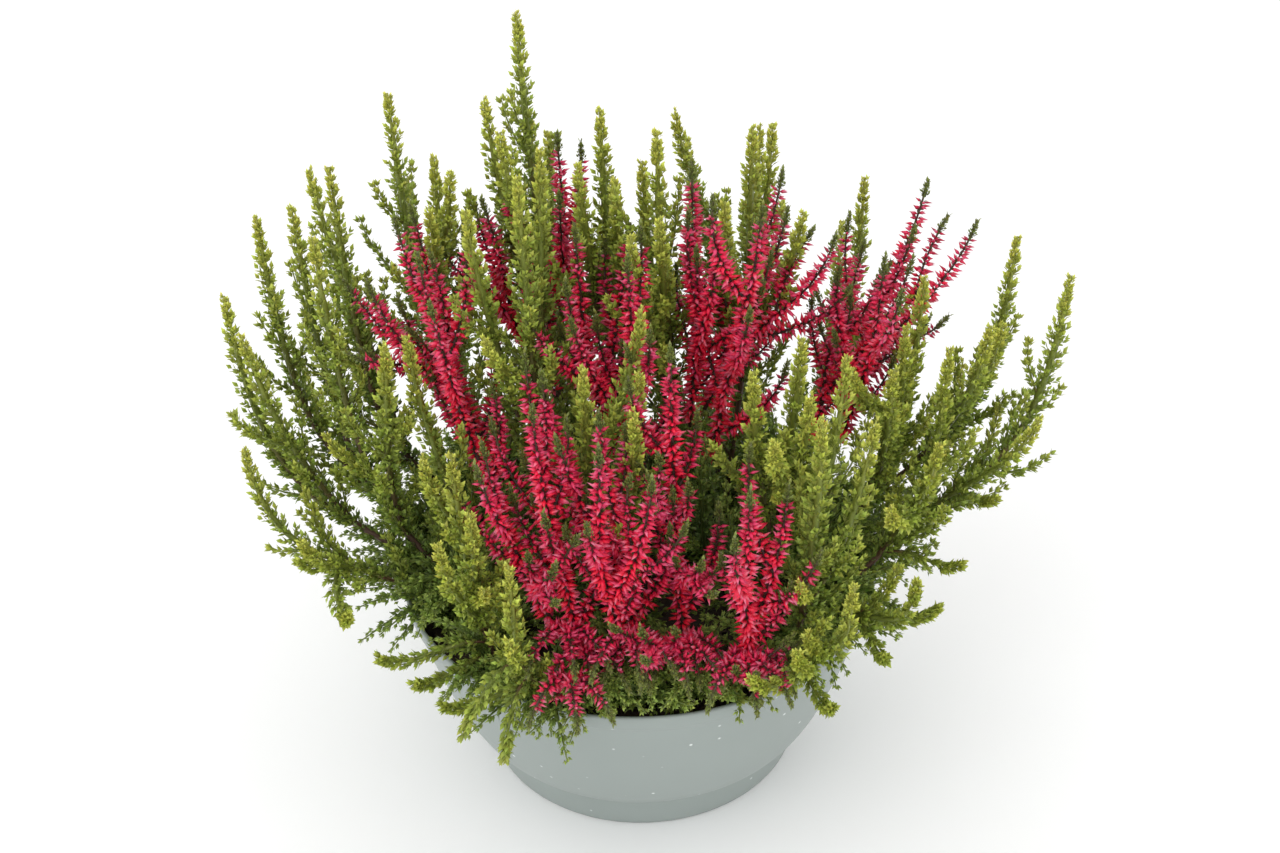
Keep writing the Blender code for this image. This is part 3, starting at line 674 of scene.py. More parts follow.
# %% [markdown]
# ### Stems as tubes
#
# A stem is a thin round rod that tapers to its tip. A curve object with a bevel would give one,
# but it would be an object of its own. Here rings of points are laid across the line and joined
# in the same basket. The directions across the line are carried from ring to ring, because
# directions worked out afresh at each point could flip and twist the tube.


# %% Stems as tubes
def cross_ways(tangent):
    """Two directions across a line at each point, carried along it without twisting."""
    side = np.array((1.0, 0.0, 0.0))
    if abs(tangent[0][0]) > 0.9:
        side = np.array((0.0, 1.0, 0.0))
    sides = np.empty_like(tangent)
    for k, way in enumerate(tangent):
        side = side - way * (side @ way)
        side = side / np.linalg.norm(side)
        sides[k] = side
    return sides, np.cross(tangent, sides)


def tube_faces(count, sides):
    """Two triangles for each wall patch, then a fan at the foot and one at the tip."""
    low = np.arange(count - 1)[:, None] * sides + np.arange(sides)
    after = np.arange(count - 1)[:, None] * sides + (np.arange(sides) + 1) % sides
    wall = np.stack([np.stack([low, after, after + sides], -1),
                     np.stack([low, after + sides, low + sides], -1)], axis=2)
    k = np.arange(sides)
    foot, tip, top = count * sides, count * sides + 1, (count - 1) * sides
    fans = [np.stack([np.full(sides, foot), (k + 1) % sides, k], -1),
            np.stack([np.full(sides, tip), top + k, top + (k + 1) % sides], -1)]
    return np.concatenate([wall.reshape(-1, 3), *fans])


def add_tube(basket, line, radius, tint, sides=6):
    """A stem along a line, closed at both ends."""
    count = len(line)
    first, second = cross_ways(unit(np.gradient(line, axis=0)))
    turn = 2 * math.pi * np.arange(sides) / sides
    ring = (np.cos(turn)[None, :, None] * first[:, None]
            + np.sin(turn)[None, :, None] * second[:, None])
    points = line[:, None] + radius[:, None, None] * ring
    points = np.concatenate([points.reshape(-1, 3), line[:1], line[-1:]])
    faces = tube_faces(count, sides)
    tints = np.concatenate([np.repeat(tint, sides, axis=0), tint[:1], tint[-1:]])
    tints = np.concatenate([tints, np.ones((len(tints), 1))], axis=1)
    cells = np.concatenate([np.repeat(np.arange(count - 1), 2 * sides),
                            np.full(2 * sides, count - 1)])
    place = np.concatenate([np.tile(np.arange(sides) / sides, count), [0.5, 0.5]])
    level = np.concatenate([np.repeat(np.arange(count) % 2, sides), [0.0, 1.0]])
    basket.add(points, faces, tints, True, cells, np.stack([place[faces], level[faces]], axis=-1))


print("a tube of 10 rings has", len(tube_faces(10, 6)), "faces")

# %% [markdown]
# ### One mesh for each solid
#
# The real plant is many separate shoots, and the frame has one solid for each. A basket's lists
# are poured into a mesh in one go, which is far quicker than adding leaf after leaf. The piece
# then takes the place of its solid, rides on the one body and gets its material.


# %% From a basket to a piece
def dressed(name, mesh, material, node):
    """The finished mesh as an object that stands for its solid."""
    mesh.materials.append(material)
    piece = bpy.data.objects.new(name, mesh)
    bpy.context.scene.collection.objects.link(piece)
    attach(piece, "root")
    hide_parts(node)
    return piece


def lay_map(mesh, uv):
    layer = mesh.uv_layers.new(name="OFBake")
    layer.data.foreach_set("uv", uv.astype(np.float32).ravel())


def piece_from(basket, name, material, node):
    points, faces = np.concatenate(basket.points), np.concatenate(basket.faces)
    mesh = bpy.data.meshes.new(name)
    mesh.vertices.add(len(points))
    mesh.vertices.foreach_set("co", points.astype(np.float32).ravel())
    mesh.loops.add(3 * len(faces))
    mesh.loops.foreach_set("vertex_index", faces.astype(np.int32).ravel())
    mesh.polygons.add(len(faces))
    mesh.polygons.foreach_set("loop_start", 3 * np.arange(len(faces), dtype=np.int32))
    mesh.polygons.foreach_set("use_smooth", np.concatenate(basket.soft))
    mesh.update(calc_edges=True)
    tint = mesh.attributes.new("tint", "FLOAT_COLOR", "POINT")
    tint.data.foreach_set("color", np.concatenate(basket.tints).astype(np.float32).ravel())
    across = math.ceil(basket.cell_count ** 0.5)
    cell = np.concatenate([cells for cells, _ in basket.cells])
    spot = np.concatenate([spots for _, spots in basket.cells])
    corner = np.stack([cell % across, cell // across], axis=-1)[:, None]
    lay_map(mesh, (corner + 0.15 + 0.7 * spot) / across)
    return dressed(name, mesh, material, node)


print("solids to dress:", len(frame["nodes"]))

# %% [markdown]
# ## Colours of growth
#
# Young tips are yellow-green, and leaves darken to deep green further down, where the stem turns
# to brown wood. Each leaf's colour is therefore worked out from its distance to the tip, with a
# small seeded variation, and stored on the mesh. Painting an image would need a file.

# %% Colour by age
draw = np.random.default_rng(7)

LIME = ((0.000, (0.62, 0.64, 0.11)), (0.015, (0.50, 0.55, 0.080)), (0.040, (0.36, 0.435, 0.058)),
        (0.080, (0.27, 0.36, 0.050)), (0.130, (0.20, 0.29, 0.044)), (0.2, (0.13, 0.21, 0.036)))
# Dark greens by age: the crimson plants' own darker foliage, and painted shade on the green sprays'
# low tufts and inner young shoots.
DARK_GREEN_AND_SHADE = ((0.000, (0.33, 0.43, 0.075)), (0.020, (0.22, 0.32, 0.055)), (0.060, (0.12, 0.19, 0.038)),
        (0.120, (0.06, 0.10, 0.025)))
OLIVE = ((0.000, (0.21, 0.25, 0.05)), (0.010, (0.115, 0.155, 0.035)), (0.020, (0.06, 0.07, 0.022)),
         (0.100, (0.035, 0.045, 0.018)))
BARK = ((0.000, (0.28, 0.30, 0.07)), (0.020, (0.20, 0.15, 0.06)), (0.060, (0.17, 0.085, 0.045)),
        (0.150, (0.11, 0.06, 0.04)))
RED_BARK = ((0.000, (0.12, 0.13, 0.04)), (0.015, (0.06, 0.028, 0.02)), (0.060, (0.05, 0.02, 0.016)),
            (0.150, (0.06, 0.035, 0.025)))
BUD_COLOURS = ((0.000, (0.40, 0.012, 0.058)), (0.022, (0.70, 0.012, 0.075)),
               (0.045, (0.93, 0.010, 0.058)), (0.130, (0.88, 0.008, 0.042)))
# Mixed into some buds at random: partly their own pinker tone, partly painted highlight.
PINK = np.array((0.86, 0.08, 0.22))
# A painted highlight: the pale glint mixed into some buds' tips.
GLINT_TIP_COLOUR = np.array((0.96, 0.40, 0.54))


def by_age(stops, distance, spread=0.0):
    places = [stop[0] for stop in stops]
    colours = np.array([stop[1] for stop in stops])
    tint = np.stack([np.interp(distance, places, colours[:, k]) for k in range(3)], axis=-1)
    if spread:
        tint = tint * draw.uniform(1 - spread, 1 + spread, (len(tint), 1))
        tint = tint * draw.uniform(1 - 0.4 * spread, 1 + 0.4 * spread, tint.shape)
    return np.clip(tint, 0.0, 1.0)


print("lime at the tip:", LIME[0][1], "and low down:", LIME[-1][1])

# %% [markdown]
# ## Leafy plumes
#
# A heather plume is a stem with short side shoots in pairs that turn as they climb, and every
# one of them is clad in tiny scale leaves in crossed pairs. The rule below follows that growth,
# which gives the toothed outline that a bumpy cylinder would lack. A slim core closes the gaps
# between the leaves near the tip. It is painted at half the leaves' green, as painted shade
# between them, and turns to brown wood further down.

# %% Places along a line
FINE_STEP = 0.001


def rounded(line):
    """Cuts the corners of a line of straight steps, twice."""
    for _ in range(2):
        near = 0.75 * line[:-1] + 0.25 * line[1:]
        far = 0.25 * line[:-1] + 0.75 * line[1:]
        middle = np.stack([near, far], axis=1).reshape(-1, 3)
        line = np.concatenate([line[:1], middle, line[-1:]])
    return line


def spots_along(line, distances):
    """Points, tangents and cross directions at given distances along a line."""
    fine = at_distance(line, np.arange(0.0, travelled(line)[-1], FINE_STEP))
    tangent = unit(np.gradient(fine, axis=0))
    first, second = cross_ways(tangent)
    index = np.clip(np.round(distances / FINE_STEP).astype(int), 0, len(fine) - 1)
    return fine[index], tangent[index], first[index], second[index]


def around(turn, first, second):
    """Directions across a line, turned round it from the first cross direction."""
    return np.cos(turn)[:, None] * first + np.sin(turn)[:, None] * second


print("a rounded stem has", len(rounded(shoots[0].line)), "points")

# %% Scale leaves on short shoots
LEAF_WIDTH = 0.56
FOOT_LEAN, LEAN_LOSS = 27, 12
LEAF_SPREAD, SHADE_SPREAD = 0.10, 0.16
# A young leaf's share of the full length, and the distance below the tip where it has it all
YOUNG_LEAF, FULL_AGE = 0.56, 0.022


def clad(basket, base, way, up, length, count, age, palette, leaf_length):
    """Clads many short straight shoots at once, each with count crossed pairs of leaves."""
    number = len(base)
    side = unit(np.cross(way, up))
    other = np.cross(way, side)
    for k in range(count):
        share = (k + 0.35) / count
        for half in (0, 1):
            turn = 0.5 * math.pi * k + math.pi * half + draw.normal(0.3, 0.25, number)
            out = around(turn, side, other)
            lean = np.radians(FOOT_LEAN - LEAN_LOSS * share)
            lean = lean + draw.normal(0.0, LEAF_SPREAD, number)
            point = way * np.cos(lean)[:, None] + out * np.sin(lean)[:, None]
            place = base + way * (share * length)[:, None] + out * 0.0003
            size = leaf_length * draw.uniform(0.88, 1.12, number) * (1.08 - 0.2 * share)
            size = size * (YOUNG_LEAF + (1 - YOUNG_LEAF) * np.clip(age / FULL_AGE, 0.0, 1.0))
            tint = by_age(palette, np.maximum(age - 0.010 * share, 0.0), SHADE_SPREAD)
            # Painted shade: each short shoot is darker at its base and lighter at its tip, inside
            # the plume.
            add_copies(basket, LEAF, place, point, out, size, LEAF_WIDTH * size,
                       tint * (0.62 + 0.5 * share))


print("a leaf is", LEAF_WIDTH, "times as wide as it is long")

# %% Plumes
CORE_SHARE = 0.24
WOOD_START, WOOD_FADE = 0.06, 0.06
DENSE_TIP, TIP_CROWDING = 0.014, 0.6
SPARSE = 2.2
PAIR_TURN = 1.9
PLUME_LEAF = 0.0037
# How far the leaves stand out, the gap between their shoots, the stem's radius, and the pairs
# of leaves on each short shoot
Kind = namedtuple("Kind", "reach gap stem pairs")
PLUME_GAP = 0.0028


def plume(basket, line, low, start, palette, bark, kind, painted_shade_age=0.0):
    """A shoot: bare up to low, thinly leafy up to start, and dense above, round a slim core.

    Palettes go by age; the extra age of a low shoot is painted shade, as dark as its branch.
    """
    reach, gap, stem, pairs = kind
    line = rounded(line)
    total = travelled(line)[-1]
    distances = np.linspace(0.0, total, max(4, round(total / 0.006)))
    left = total - distances
    radius = stem * np.clip(left / 0.10, 0.28, 1.0) ** 0.6
    core = CORE_SHARE * reach * np.clip(left / 0.035, 0.15, 1.0)
    dense = distances > start
    woody = np.clip((left + painted_shade_age - WOOD_START) / WOOD_FADE, 0.0, 1.0)
    woody = np.where(dense, woody, 1.0)[:, None]
    # The core is painted at half the leaves' green, as painted shade between the leaves.
    tint = (0.5 * (1 - woody) * by_age(palette, left + painted_shade_age) + woody * by_age(bark, left + painted_shade_age))
    add_tube(basket, at_distance(line, distances),
             np.where(dense, np.maximum(core, radius), radius), tint, 4)
    tip_gap = TIP_CROWDING * gap if reach >= LEAF_REACH else gap
    forks = np.concatenate((np.arange(low, start, SPARSE * gap),
                            np.arange(max(low, start), total - DENSE_TIP, gap),
                            np.arange(max(low, total - DENSE_TIP), total - 0.001, tip_gap)))
    for half in (0, 1):
        places = np.clip(forks + draw.normal(0, 0.0005, len(forks)), 0, total)
        point, tangent, first, second = spots_along(line, places)
        turn = PAIR_TURN * np.arange(len(forks)) + math.pi * half
        turn = turn + draw.normal(0, 0.3, len(forks))
        out = around(turn, first, second)
        left = total - places
        slim = np.clip(left / 0.042, 0.14, 1.0) ** 0.68
        lean = 0.26 + 0.40 * np.clip(left / 0.05, 0, 1) + draw.normal(0, 0.09, len(left))
        way = unit(tangent * np.cos(lean)[:, None] + out * np.sin(lean)[:, None])
        length = 1.12 * reach * slim * draw.uniform(0.86, 1.06, len(left))
        clad(basket, point + out * 0.0008, way, tangent, length, pairs, left + painted_shade_age, palette,
             PLUME_LEAF)


print("a plume's leaves are", 1000 * PLUME_LEAF, "mm long")

# %% [markdown]
# ### Side plumes, tufts and young shoots
#
# A real plant also has longer side plumes, a skirt of short shoots round its foot that lie on
# the soil or hang over the rim, and young shoots inside the bush. Placing each by hand would
# take very long, so each kind has a rule with its own lengths and angles, and a seeded random
# number generator varies them. All of them are plumes, so the bush is leafy from every side.


# %% Side plumes
SIDE_TURN = 2.4


def side_lines(line, low, top, gap, shortest, longest, spread=0.46):
    """Curved lines that fork off all round a line, and each one's distance below its tip."""
    total = travelled(line)[-1]
    places = np.arange(low + 0.5 * gap, total - top, gap)
    lines = []
    for k, (start, tangent, first, second) in enumerate(zip(*spots_along(line, places))):
        turn = SIDE_TURN * k + draw.uniform(-0.4, 0.4)
        out = math.cos(turn) * first + math.sin(turn) * second
        length = draw.uniform(shortest, longest)
        end = start + length * (0.80 * tangent + spread * out + 0.12 * UP)
        handle = start + 0.4 * length * unit(tangent + out)
        lines.append((bezier(start, handle, end - 0.3 * length * unit(tangent + 0.5 * UP), end),
                      total - places[k]))
    return lines


print("side plumes turn", round(math.degrees(SIDE_TURN)), "degrees from one to the next")

# %% Where a tuft's shoots end
SOIL_REACH, NEAR_REACH, RIM_REACH = 0.107, 0.096, 0.127
# An end's lowest and highest place, and how far its shoot rises first
ON_SOIL = (0.098, 0.104, 0.008)
AMONG_STEMS = (0.108, 0.134, 0.016)
BY_RIM = (0.113, 0.128, 0.026)
OVER_EDGE = (0.103, 0.122, 0.026)


def tuft_end(end, lying):
    """Brings a tuft shoot's end to the soil, up among the stems, to the rim or over it."""
    far = math.hypot(end[0], end[1])
    if lying:
        end[:2] *= min(1.0, SOIL_REACH / far)
        lowest, highest, rise = ON_SOIL
    elif far > NEAR_REACH:
        lowest, highest, rise = OVER_EDGE if far > RIM_REACH else BY_RIM
    else:
        lowest, highest, rise = AMONG_STEMS
    end[2] = draw.uniform(lowest, highest)
    return rise


print("tufts reach", 1000 * SOIL_REACH, "mm on the soil")

# %% Tufts round a plant's foot
OPEN_FRONT = (-1.6, -0.7)
RIM_FAN = 2.2
TUFT_SPAN, HANGING_SPAN = (0.022, 0.036), (0.028, 0.048)
TUFT_BARE = 0.003
LYING = Kind(reach=0.0046, gap=0.0046, stem=0.0007, pairs=2)
RISING = Kind(reach=0.0046, gap=0.0038, stem=0.0007, pairs=2)


def tuft(basket, foot, number, palette, bark):
    """Short leafy shoots round a plant's foot: some lie, some rise, some hang over the rim."""
    outward = math.atan2(foot[1], foot[0])
    open_front = OPEN_FRONT[0] < outward < OPEN_FRONT[1]
    edge = (3 if open_front else 10) if near_rim(foot[:2]) else 0
    for k in range(2 * number + edge):
        turn = outward + 2 * math.pi * (k + draw.uniform(-0.3, 0.3)) / number
        hanging = k >= 2 * number
        if hanging:
            turn = outward + RIM_FAN * ((k - 2 * number + 0.5) / edge - 0.5)
            turn = turn + draw.uniform(-0.15, 0.15)
        way = np.array((math.cos(turn), math.sin(turn), 0.0))
        span = draw.uniform(*TUFT_SPAN)
        if hanging and not open_front:
            span = draw.uniform(*HANGING_SPAN)
        end = foot + span * way
        rise = tuft_end(end, lying=k < number)
        start = foot + UP * draw.uniform(0.002, 0.006)
        line = bezier(start, start + UP * rise + 0.2 * span * way,
                      end - 0.35 * span * way + UP * 0.002, end)
        plume(basket, line, TUFT_BARE, TUFT_BARE, palette, bark, LYING if k < number else RISING)


print("a tuft shoot spans up to", 1000 * HANGING_SPAN[1], "mm")

# %% Young shoots inside the bush
YOUNG = Kind(reach=0.0044, gap=0.0044, stem=0.0008, pairs=2)
YOUNG_LEAN, YOUNG_HEIGHT = 0.026, (0.070, 0.100)
YOUNG_BARE = 0.006


def young_shoots(basket, foot, number, palette, bark):
    """Upright shoots that lean in from the foot of a plant and fill the inside of the bush."""
    inward = -unit(foot * FLAT)
    for k in range(number):
        turn = 1.3 * (k - 0.5 * (number - 1)) + draw.uniform(-0.2, 0.2)
        way = math.cos(turn) * inward + math.sin(turn) * np.cross(UP, inward)
        end = foot + YOUNG_LEAN * way + UP * draw.uniform(*YOUNG_HEIGHT)
        line = bezier(foot, foot + UP * 0.020 + 0.012 * way, end - UP * 0.030, end)
        plume(basket, line, YOUNG_BARE, YOUNG_BARE, palette, bark, YOUNG)


print("young shoots are up to", 1000 * YOUNG_HEIGHT[1], "mm high")

# %% [markdown]
# ## Green sprays
#
# Each green spray is a rooted plant of two to six plumes. The plumes on the outside stay densely
# leafy down to the rim, and those in the middle are thinly leafy below, where little light
# reaches them. The leaves take their colour from the mesh, with a fine speckle over it.


# %% Leaf material
def shader_node(material, kind, **sockets):
    """A new node with some of its sockets set. An underscore stands for a space."""
    made = material.node_tree.nodes.new("ShaderNode" + kind)
    for name, value in sockets.items():
        made.inputs[name.replace("_", " ")].default_value = value
    return made


def wire(material, *ways):
    """Links sockets: each way is a node, its output, the next node and its input."""
    for source, output, target, socket in ways:
        material.node_tree.links.new(source.outputs[output], target.inputs[socket])


def leaf_material(name, roughness):
    material = plain_material(name, (0.3, 0.4, 0.06), roughness)
    shader = material.node_tree.nodes["Principled BSDF"]
    tint = shader_node(material, "Attribute")
    tint.attribute_name = "tint"
    speckle = shader_node(material, "TexNoise", Scale=900.0)
    level = shader_node(material, "MapRange", To_Min=0.78, To_Max=1.22)
    mix = shader_node(material, "VectorMath")
    mix.operation = "MULTIPLY"
    bump = shader_node(material, "Bump", Strength=0.35, Distance=0.0002)
    wire(material, (speckle, "Fac", level, "Value"), (tint, "Color", mix, 0),
         (level, "Result", mix, 1), (mix, "Vector", shader, "Base Color"),
         (speckle, "Fac", bump, "Height"), (bump, "Normal", shader, "Normal"))
    return material


leaves = leaf_material("heather leaves", 0.55)
print("leaf material:", leaves.name)

# %% [markdown]
# ### Dressing the sprays
#
# Each stem runs down into its hole in the soil, so its line gets a buried foot. Low shoots get
# older colours than high ones, because they are in the shade of the others. The plants behind
# and inside get more young shoots, which close the gaps between the stems.

# %% Dress one green shoot
BURIED = 0.0117
ROOT_BARE, SIDE_BARE = 0.022, 0.006
# Tips below this height are shaded over this range, and look this much further from the tip
SHADE_TOP, SHADE_RANGE, SHADE = 0.175, 0.05, 0.034
BRANCH_SHADE = 0.34
SIDE_KIND = Kind(reach=0.0040, gap=0.0037, stem=0.0007, pairs=2)
SIDE_START = 0.001
# Side plumes: how far they end below the tip, their gap, and the shortest
SIDE_ROOM = (0.060, 0.012, 0.020)
LONG_SIDE, RIM_SIDE = 0.046, 0.038


def with_root(line):
    """The line with its foot in the stem's hole."""
    return np.concatenate(([line[0] - UP * BURIED, line[0] + UP * 0.002], line[1:]))


def dress_green(basket, shoot, longest):
    rooted = shoot.parent is None
    line = with_root(shoot.line) if rooted else shoot.line
    buried = BURIED if rooted else 0.0
    low = buried + (ROOT_BARE if rooted else SIDE_BARE)
    shade = SHADE * float(np.clip((SHADE_TOP - line[-1][2]) / SHADE_RANGE, 0.0, 1.0))
    kind = Kind(shoot.reach, PLUME_GAP, stem=0.0013 if rooted else 0.0010, pairs=3)
    plume(basket, line, low, shoot.bare + buried, LIME, BARK, kind, shade)
    for side, below in side_lines(line, low, *SIDE_ROOM, longest):
        plume(basket, side, SIDE_START, SIDE_START, LIME, BARK, SIDE_KIND,
              BRANCH_SHADE * below + shade)


print("a green spray's side plumes are", 1000 * SIDE_ROOM[1], "mm apart")

# %% Dress every green spray
BACK, BEHIND = 0.05, 0.06
INSIDE, LEFT_SIDE = 0.064, -0.010

by_node = {}
for shoot in shoots:
    by_node.setdefault(shoot.node, []).append(shoot)

green_pieces = []
for node in sorted(name for name in by_node if name.startswith("green_spray")):
    basket = Basket()
    foot = by_node[node][0].line[0]
    root = foot[:2]
    behind = root[1] > BEHIND
    longest = RIM_SIDE if near_rim(root) and root[1] < BACK else LONG_SIDE
    for shoot in by_node[node]:
        dress_green(basket, shoot, longest)
    # On a green spray the dark palette of the tufts and young shoots is painted shade under and
    # inside the bush.
    tuft(basket, foot, 9 if behind else 6, DARK_GREEN_AND_SHADE, BARK)
    if behind:
        young_shoots(basket, foot, 4, DARK_GREEN_AND_SHADE, BARK)
    elif math.hypot(*root) < INSIDE and root[0] > LEFT_SIDE:
        young_shoots(basket, foot, 3, DARK_GREEN_AND_SHADE, BARK)
    green_pieces.append(piece_from(basket, f"leafy_{node}", leaves, node))
print("green sprays:", len(green_pieces), "faces:",
      sum(len(piece.data.polygons) for piece in green_pieces))

# %% [markdown]
# ## Crimson spikes
#
# Each crimson spike carries whorls of pointed buds that stand out from a dark stem, and ends in
# a short olive leafy tip. Some buds are pinker, partly in their own tone and partly as painted
# highlight, and some have a painted highlight, a pale glint, on the tip. Below the buds the
# same plant is dark green and leafy. The lower part and each head are separate solids, so they
# are dressed as separate pieces.

# %% A spike's stem, scales and leafy tip
LEAFY_TIP = 0.010
SPIKE_STEM = 0.0010
SCALE_GAP, SCALE_LEAF = 0.0020, 0.0028
TIP_GAP, TIP_SHOOT, TIP_LEAF = 0.0013, 0.0040, 0.0024


def spike_stem(basket, line, start):
    """The dark stem with a scale leaf on each side every 2 mm, and its leafy tip's length."""
    total = travelled(line)[-1]
    distances = np.linspace(0.0, total, max(6, round(total / 0.004)))
    radius = SPIKE_STEM * np.clip((total - distances) / 0.08, 0.3, 1.0) ** 0.6
    add_tube(basket, at_distance(line, distances), radius, by_age(RED_BARK, total - distances))
    leafy_tip = min(LEAFY_TIP, 0.4 * total)
    scales = np.arange(start, total, SCALE_GAP)
    point, tangent, first, second = spots_along(line, scales)
    for half in (0, 1):
        turn = 0.5 * math.pi * np.arange(len(scales)) + math.pi * half
        out = around(turn + draw.normal(0.0, 0.3, len(scales)), first, second)
        lean = np.where(total - scales < leafy_tip, 0.35, 0.8)
        lean = lean + draw.normal(0.0, 0.1, len(scales))
        way = tangent * np.cos(lean)[:, None] + out * np.sin(lean)[:, None]
        size = SCALE_LEAF * draw.uniform(0.85, 1.15, len(scales))
        add_copies(basket, LEAF, point + out * 0.0004, way, out, size, 0.5 * size,
                   by_age(OLIVE, total - scales, 0.16))
    forks = np.arange(total - leafy_tip, total - 0.002, TIP_GAP)
    point, tangent, first, second = spots_along(line, forks)
    for half in (0, 1):
        out = around(PAIR_TURN * np.arange(len(forks)) + math.pi * half, first, second)
        way = unit(tangent * 0.88 + out * 0.47)
        left = total - forks
        length = TIP_SHOOT * np.clip(left / 0.010, 0.3, 1.0)
        clad(basket, point, way, tangent, length, 3, left, OLIVE, TIP_LEAF)
    return leafy_tip


print("a spike's leafy tip is", 1000 * LEAFY_TIP, "mm long")

# %% Buds in whorls
WHORL_GAP, WHORL_BUDS = 0.0026, 6
WHORL_TWIST = 0.52
BUD_LENGTH, LENGTH_LOSS = 0.0061, 0.0016
BUD_WIDTH, WIDTH_LOSS = 0.00098, 0.00026
PINK_SHARE, GLINT_SHARE = 0.22, 0.36


def spike_buds(basket, line, start, leafy_tip):
    """Whorls of buds, which are smaller and sparser where they are young, near the tip."""
    total = travelled(line)[-1]
    whorls = np.arange(start + 0.001, total - leafy_tip, WHORL_GAP)
    for k in range(WHORL_BUDS):
        left = total - whorls
        young = np.exp(-(left - leafy_tip) / 0.016)
        keep = draw.uniform(0, 1, len(whorls)) > 0.06 + 0.42 * young
        if not keep.any():
            continue
        places = np.clip(whorls[keep] + draw.normal(0, 0.0006, keep.sum()), start, total)
        count = len(places)
        point, tangent, first, second = spots_along(line, places)
        turn = (2 * math.pi * k / WHORL_BUDS + WHORL_TWIST * np.flatnonzero(keep)
                + draw.normal(0.0, 0.24, count))
        out = around(turn, first, second)
        left, young = left[keep], young[keep]
        rise = 0.28 - 0.36 * np.clip(left / 0.09, 0, 1) + draw.normal(0, 0.24, count)
        way = unit(out + tangent * rise[:, None])
        length = (BUD_LENGTH - LENGTH_LOSS * young) * draw.uniform(0.85, 1.12, count)
        width = (BUD_WIDTH - WIDTH_LOSS * young) * draw.uniform(0.85, 1.15, count)
        tint = by_age(BUD_COLOURS, left, 0.24)
        # Some buds are mixed towards pink, partly their own tone and partly painted highlight.
        pink = (draw.uniform(0, 1, (count, 1)) < PINK_SHARE) * draw.uniform(0.3, 0.8)
        tint = tint * (1 - pink) + PINK * pink
        # A painted highlight: some buds get a pale glint at the tip.
        glint = ((draw.uniform(0, 1, (count, 1)) < GLINT_SHARE)
                 * draw.uniform(0.35, 0.80, (count, 1)))
        add_copies(basket, BUD, point, way, tangent, length, width, tint,
                   tint * (1 - glint) + GLINT_TIP_COLOUR * glint)


def spike(basket, line, start):
    line = rounded(line)
    spike_buds(basket, line, start, spike_stem(basket, line, start))


buds = leaf_material("heather buds", 0.42)
print("bud material:", buds.name)

# %% [markdown]
# ### Splitting a stem from its spike
#
# On a real plant the stem runs on into its spike. In the frame they are two solids, so the same
# line is cut at one place, and what is below goes to the lower part and what is above to the
# spike. A gap of 0.3 mm keeps the two meshes from sharing a face.

# %% Where each crimson stem turns into a spike
SPLIT_GAP = 0.0003

heads = {}
bases = {}
for shoot in shoots:
    if shoot.head:
        split = flower_start(shoot.line, shoot.head_length)
        along = travelled(shoot.line)
        low = np.concatenate((shoot.line[along < split - SPLIT_GAP],
                              [at_distance(shoot.line, split - SPLIT_GAP)]))
        high = np.concatenate(([at_distance(shoot.line, split)], shoot.line[along > split]))
        bases.setdefault(shoot.node, []).append((with_root(low) if shoot.parent is None else low,
                                                 shoot))
        heads.setdefault(shoot.head, []).append(high)
    elif shoot.node.startswith("crimson_spike"):
        heads[shoot.node].append(shoot.line)
    elif shoot.node.startswith("crimson_stem"):
        bases[shoot.node].append((shoot.line, shoot))
print("spikes:", len(heads), "lower parts:", len(bases))

# %% Dress every spike
# Side spikes: where they begin, how far they end below the tip, their gap, shortest and longest
SHORT_GROWTH = (0.004, 0.018, 0.010, 0.024, 0.036)
LONG_GROWTH = (0.008, 0.045, 0.020, 0.036, 0.064)
SHORT_SPIKE = 0.085
# How much of the stem stays bare below the buds: a head, its other tips, side and front spikes
HEAD_START, TIP_START, SIDE_SPIKE, FRONT_SPIKE = 0.003, 0.007, 0.005, 0.004
FRONT_HEADS = -0.085
FRONT_WAYS = ((-0.55, -1.0, 0.12), (0.15, -1.0, 0.12), (0.75, -1.0, 0.12))

for node, lines in heads.items():
    basket = Basket()
    for k, line in enumerate(lines):
        spike(basket, line, HEAD_START if k == 0 else TIP_START)
        growth = SHORT_GROWTH if travelled(line)[-1] < SHORT_SPIKE else LONG_GROWTH
        for side, _ in side_lines(line, *growth, spread=0.38):
            spike(basket, side, SIDE_SPIKE)
        if k == 0 and line[0][1] < FRONT_HEADS:
            for way in unit(np.array(FRONT_WAYS)):
                low, end = line[0] + UP * 0.004, line[0] + 0.034 * way
                spike(basket, bezier(low, low + UP * 0.018 + 0.010 * way, end + UP * 0.008, end),
                      FRONT_SPIKE)
    piece_from(basket, f"budded_{node}", buds, node)
print("spikes dressed:", len(heads))

# %% [markdown]
# ### The lower parts
#
# Below their spikes the crimson plants are as leafy as the green ones, but darker, and their
# short shoots cover the soil and the front of the rim. The rules for plumes, tufts and young
# shoots are used again with dark colours, so the two kinds differ only where they do in life.

# %% Leafy lower parts of the crimson plants
LOWER = Kind(TWIG_REACH, PLUME_GAP, stem=0.0012, pairs=3)
MIDDLE = 0.05

for node, lines in bases.items():
    basket = Basket()
    for line, shoot in lines:
        start = ROOT_BARE if shoot.parent is None else SIDE_BARE
        plume(basket, line, start, start, DARK_GREEN_AND_SHADE, RED_BARK, LOWER)
    foot = lines[0][1].line[0]
    tuft(basket, foot, 9, DARK_GREEN_AND_SHADE, RED_BARK)
    if math.hypot(*foot[:2]) < MIDDLE:
        young_shoots(basket, foot, 3, DARK_GREEN_AND_SHADE, RED_BARK)
    piece_from(basket, f"leafy_{node}", leaves, node)
print("lower parts dressed:", len(bases))

# %% [markdown]
# ## The bowl
#
# The bowl is moulded plastic with a rolled rim band and a foot band. A lathe suits it: one
# profile is turned about the upright axis in many steps, which keeps its edges round in the
# picture where the plain solid shows flats.


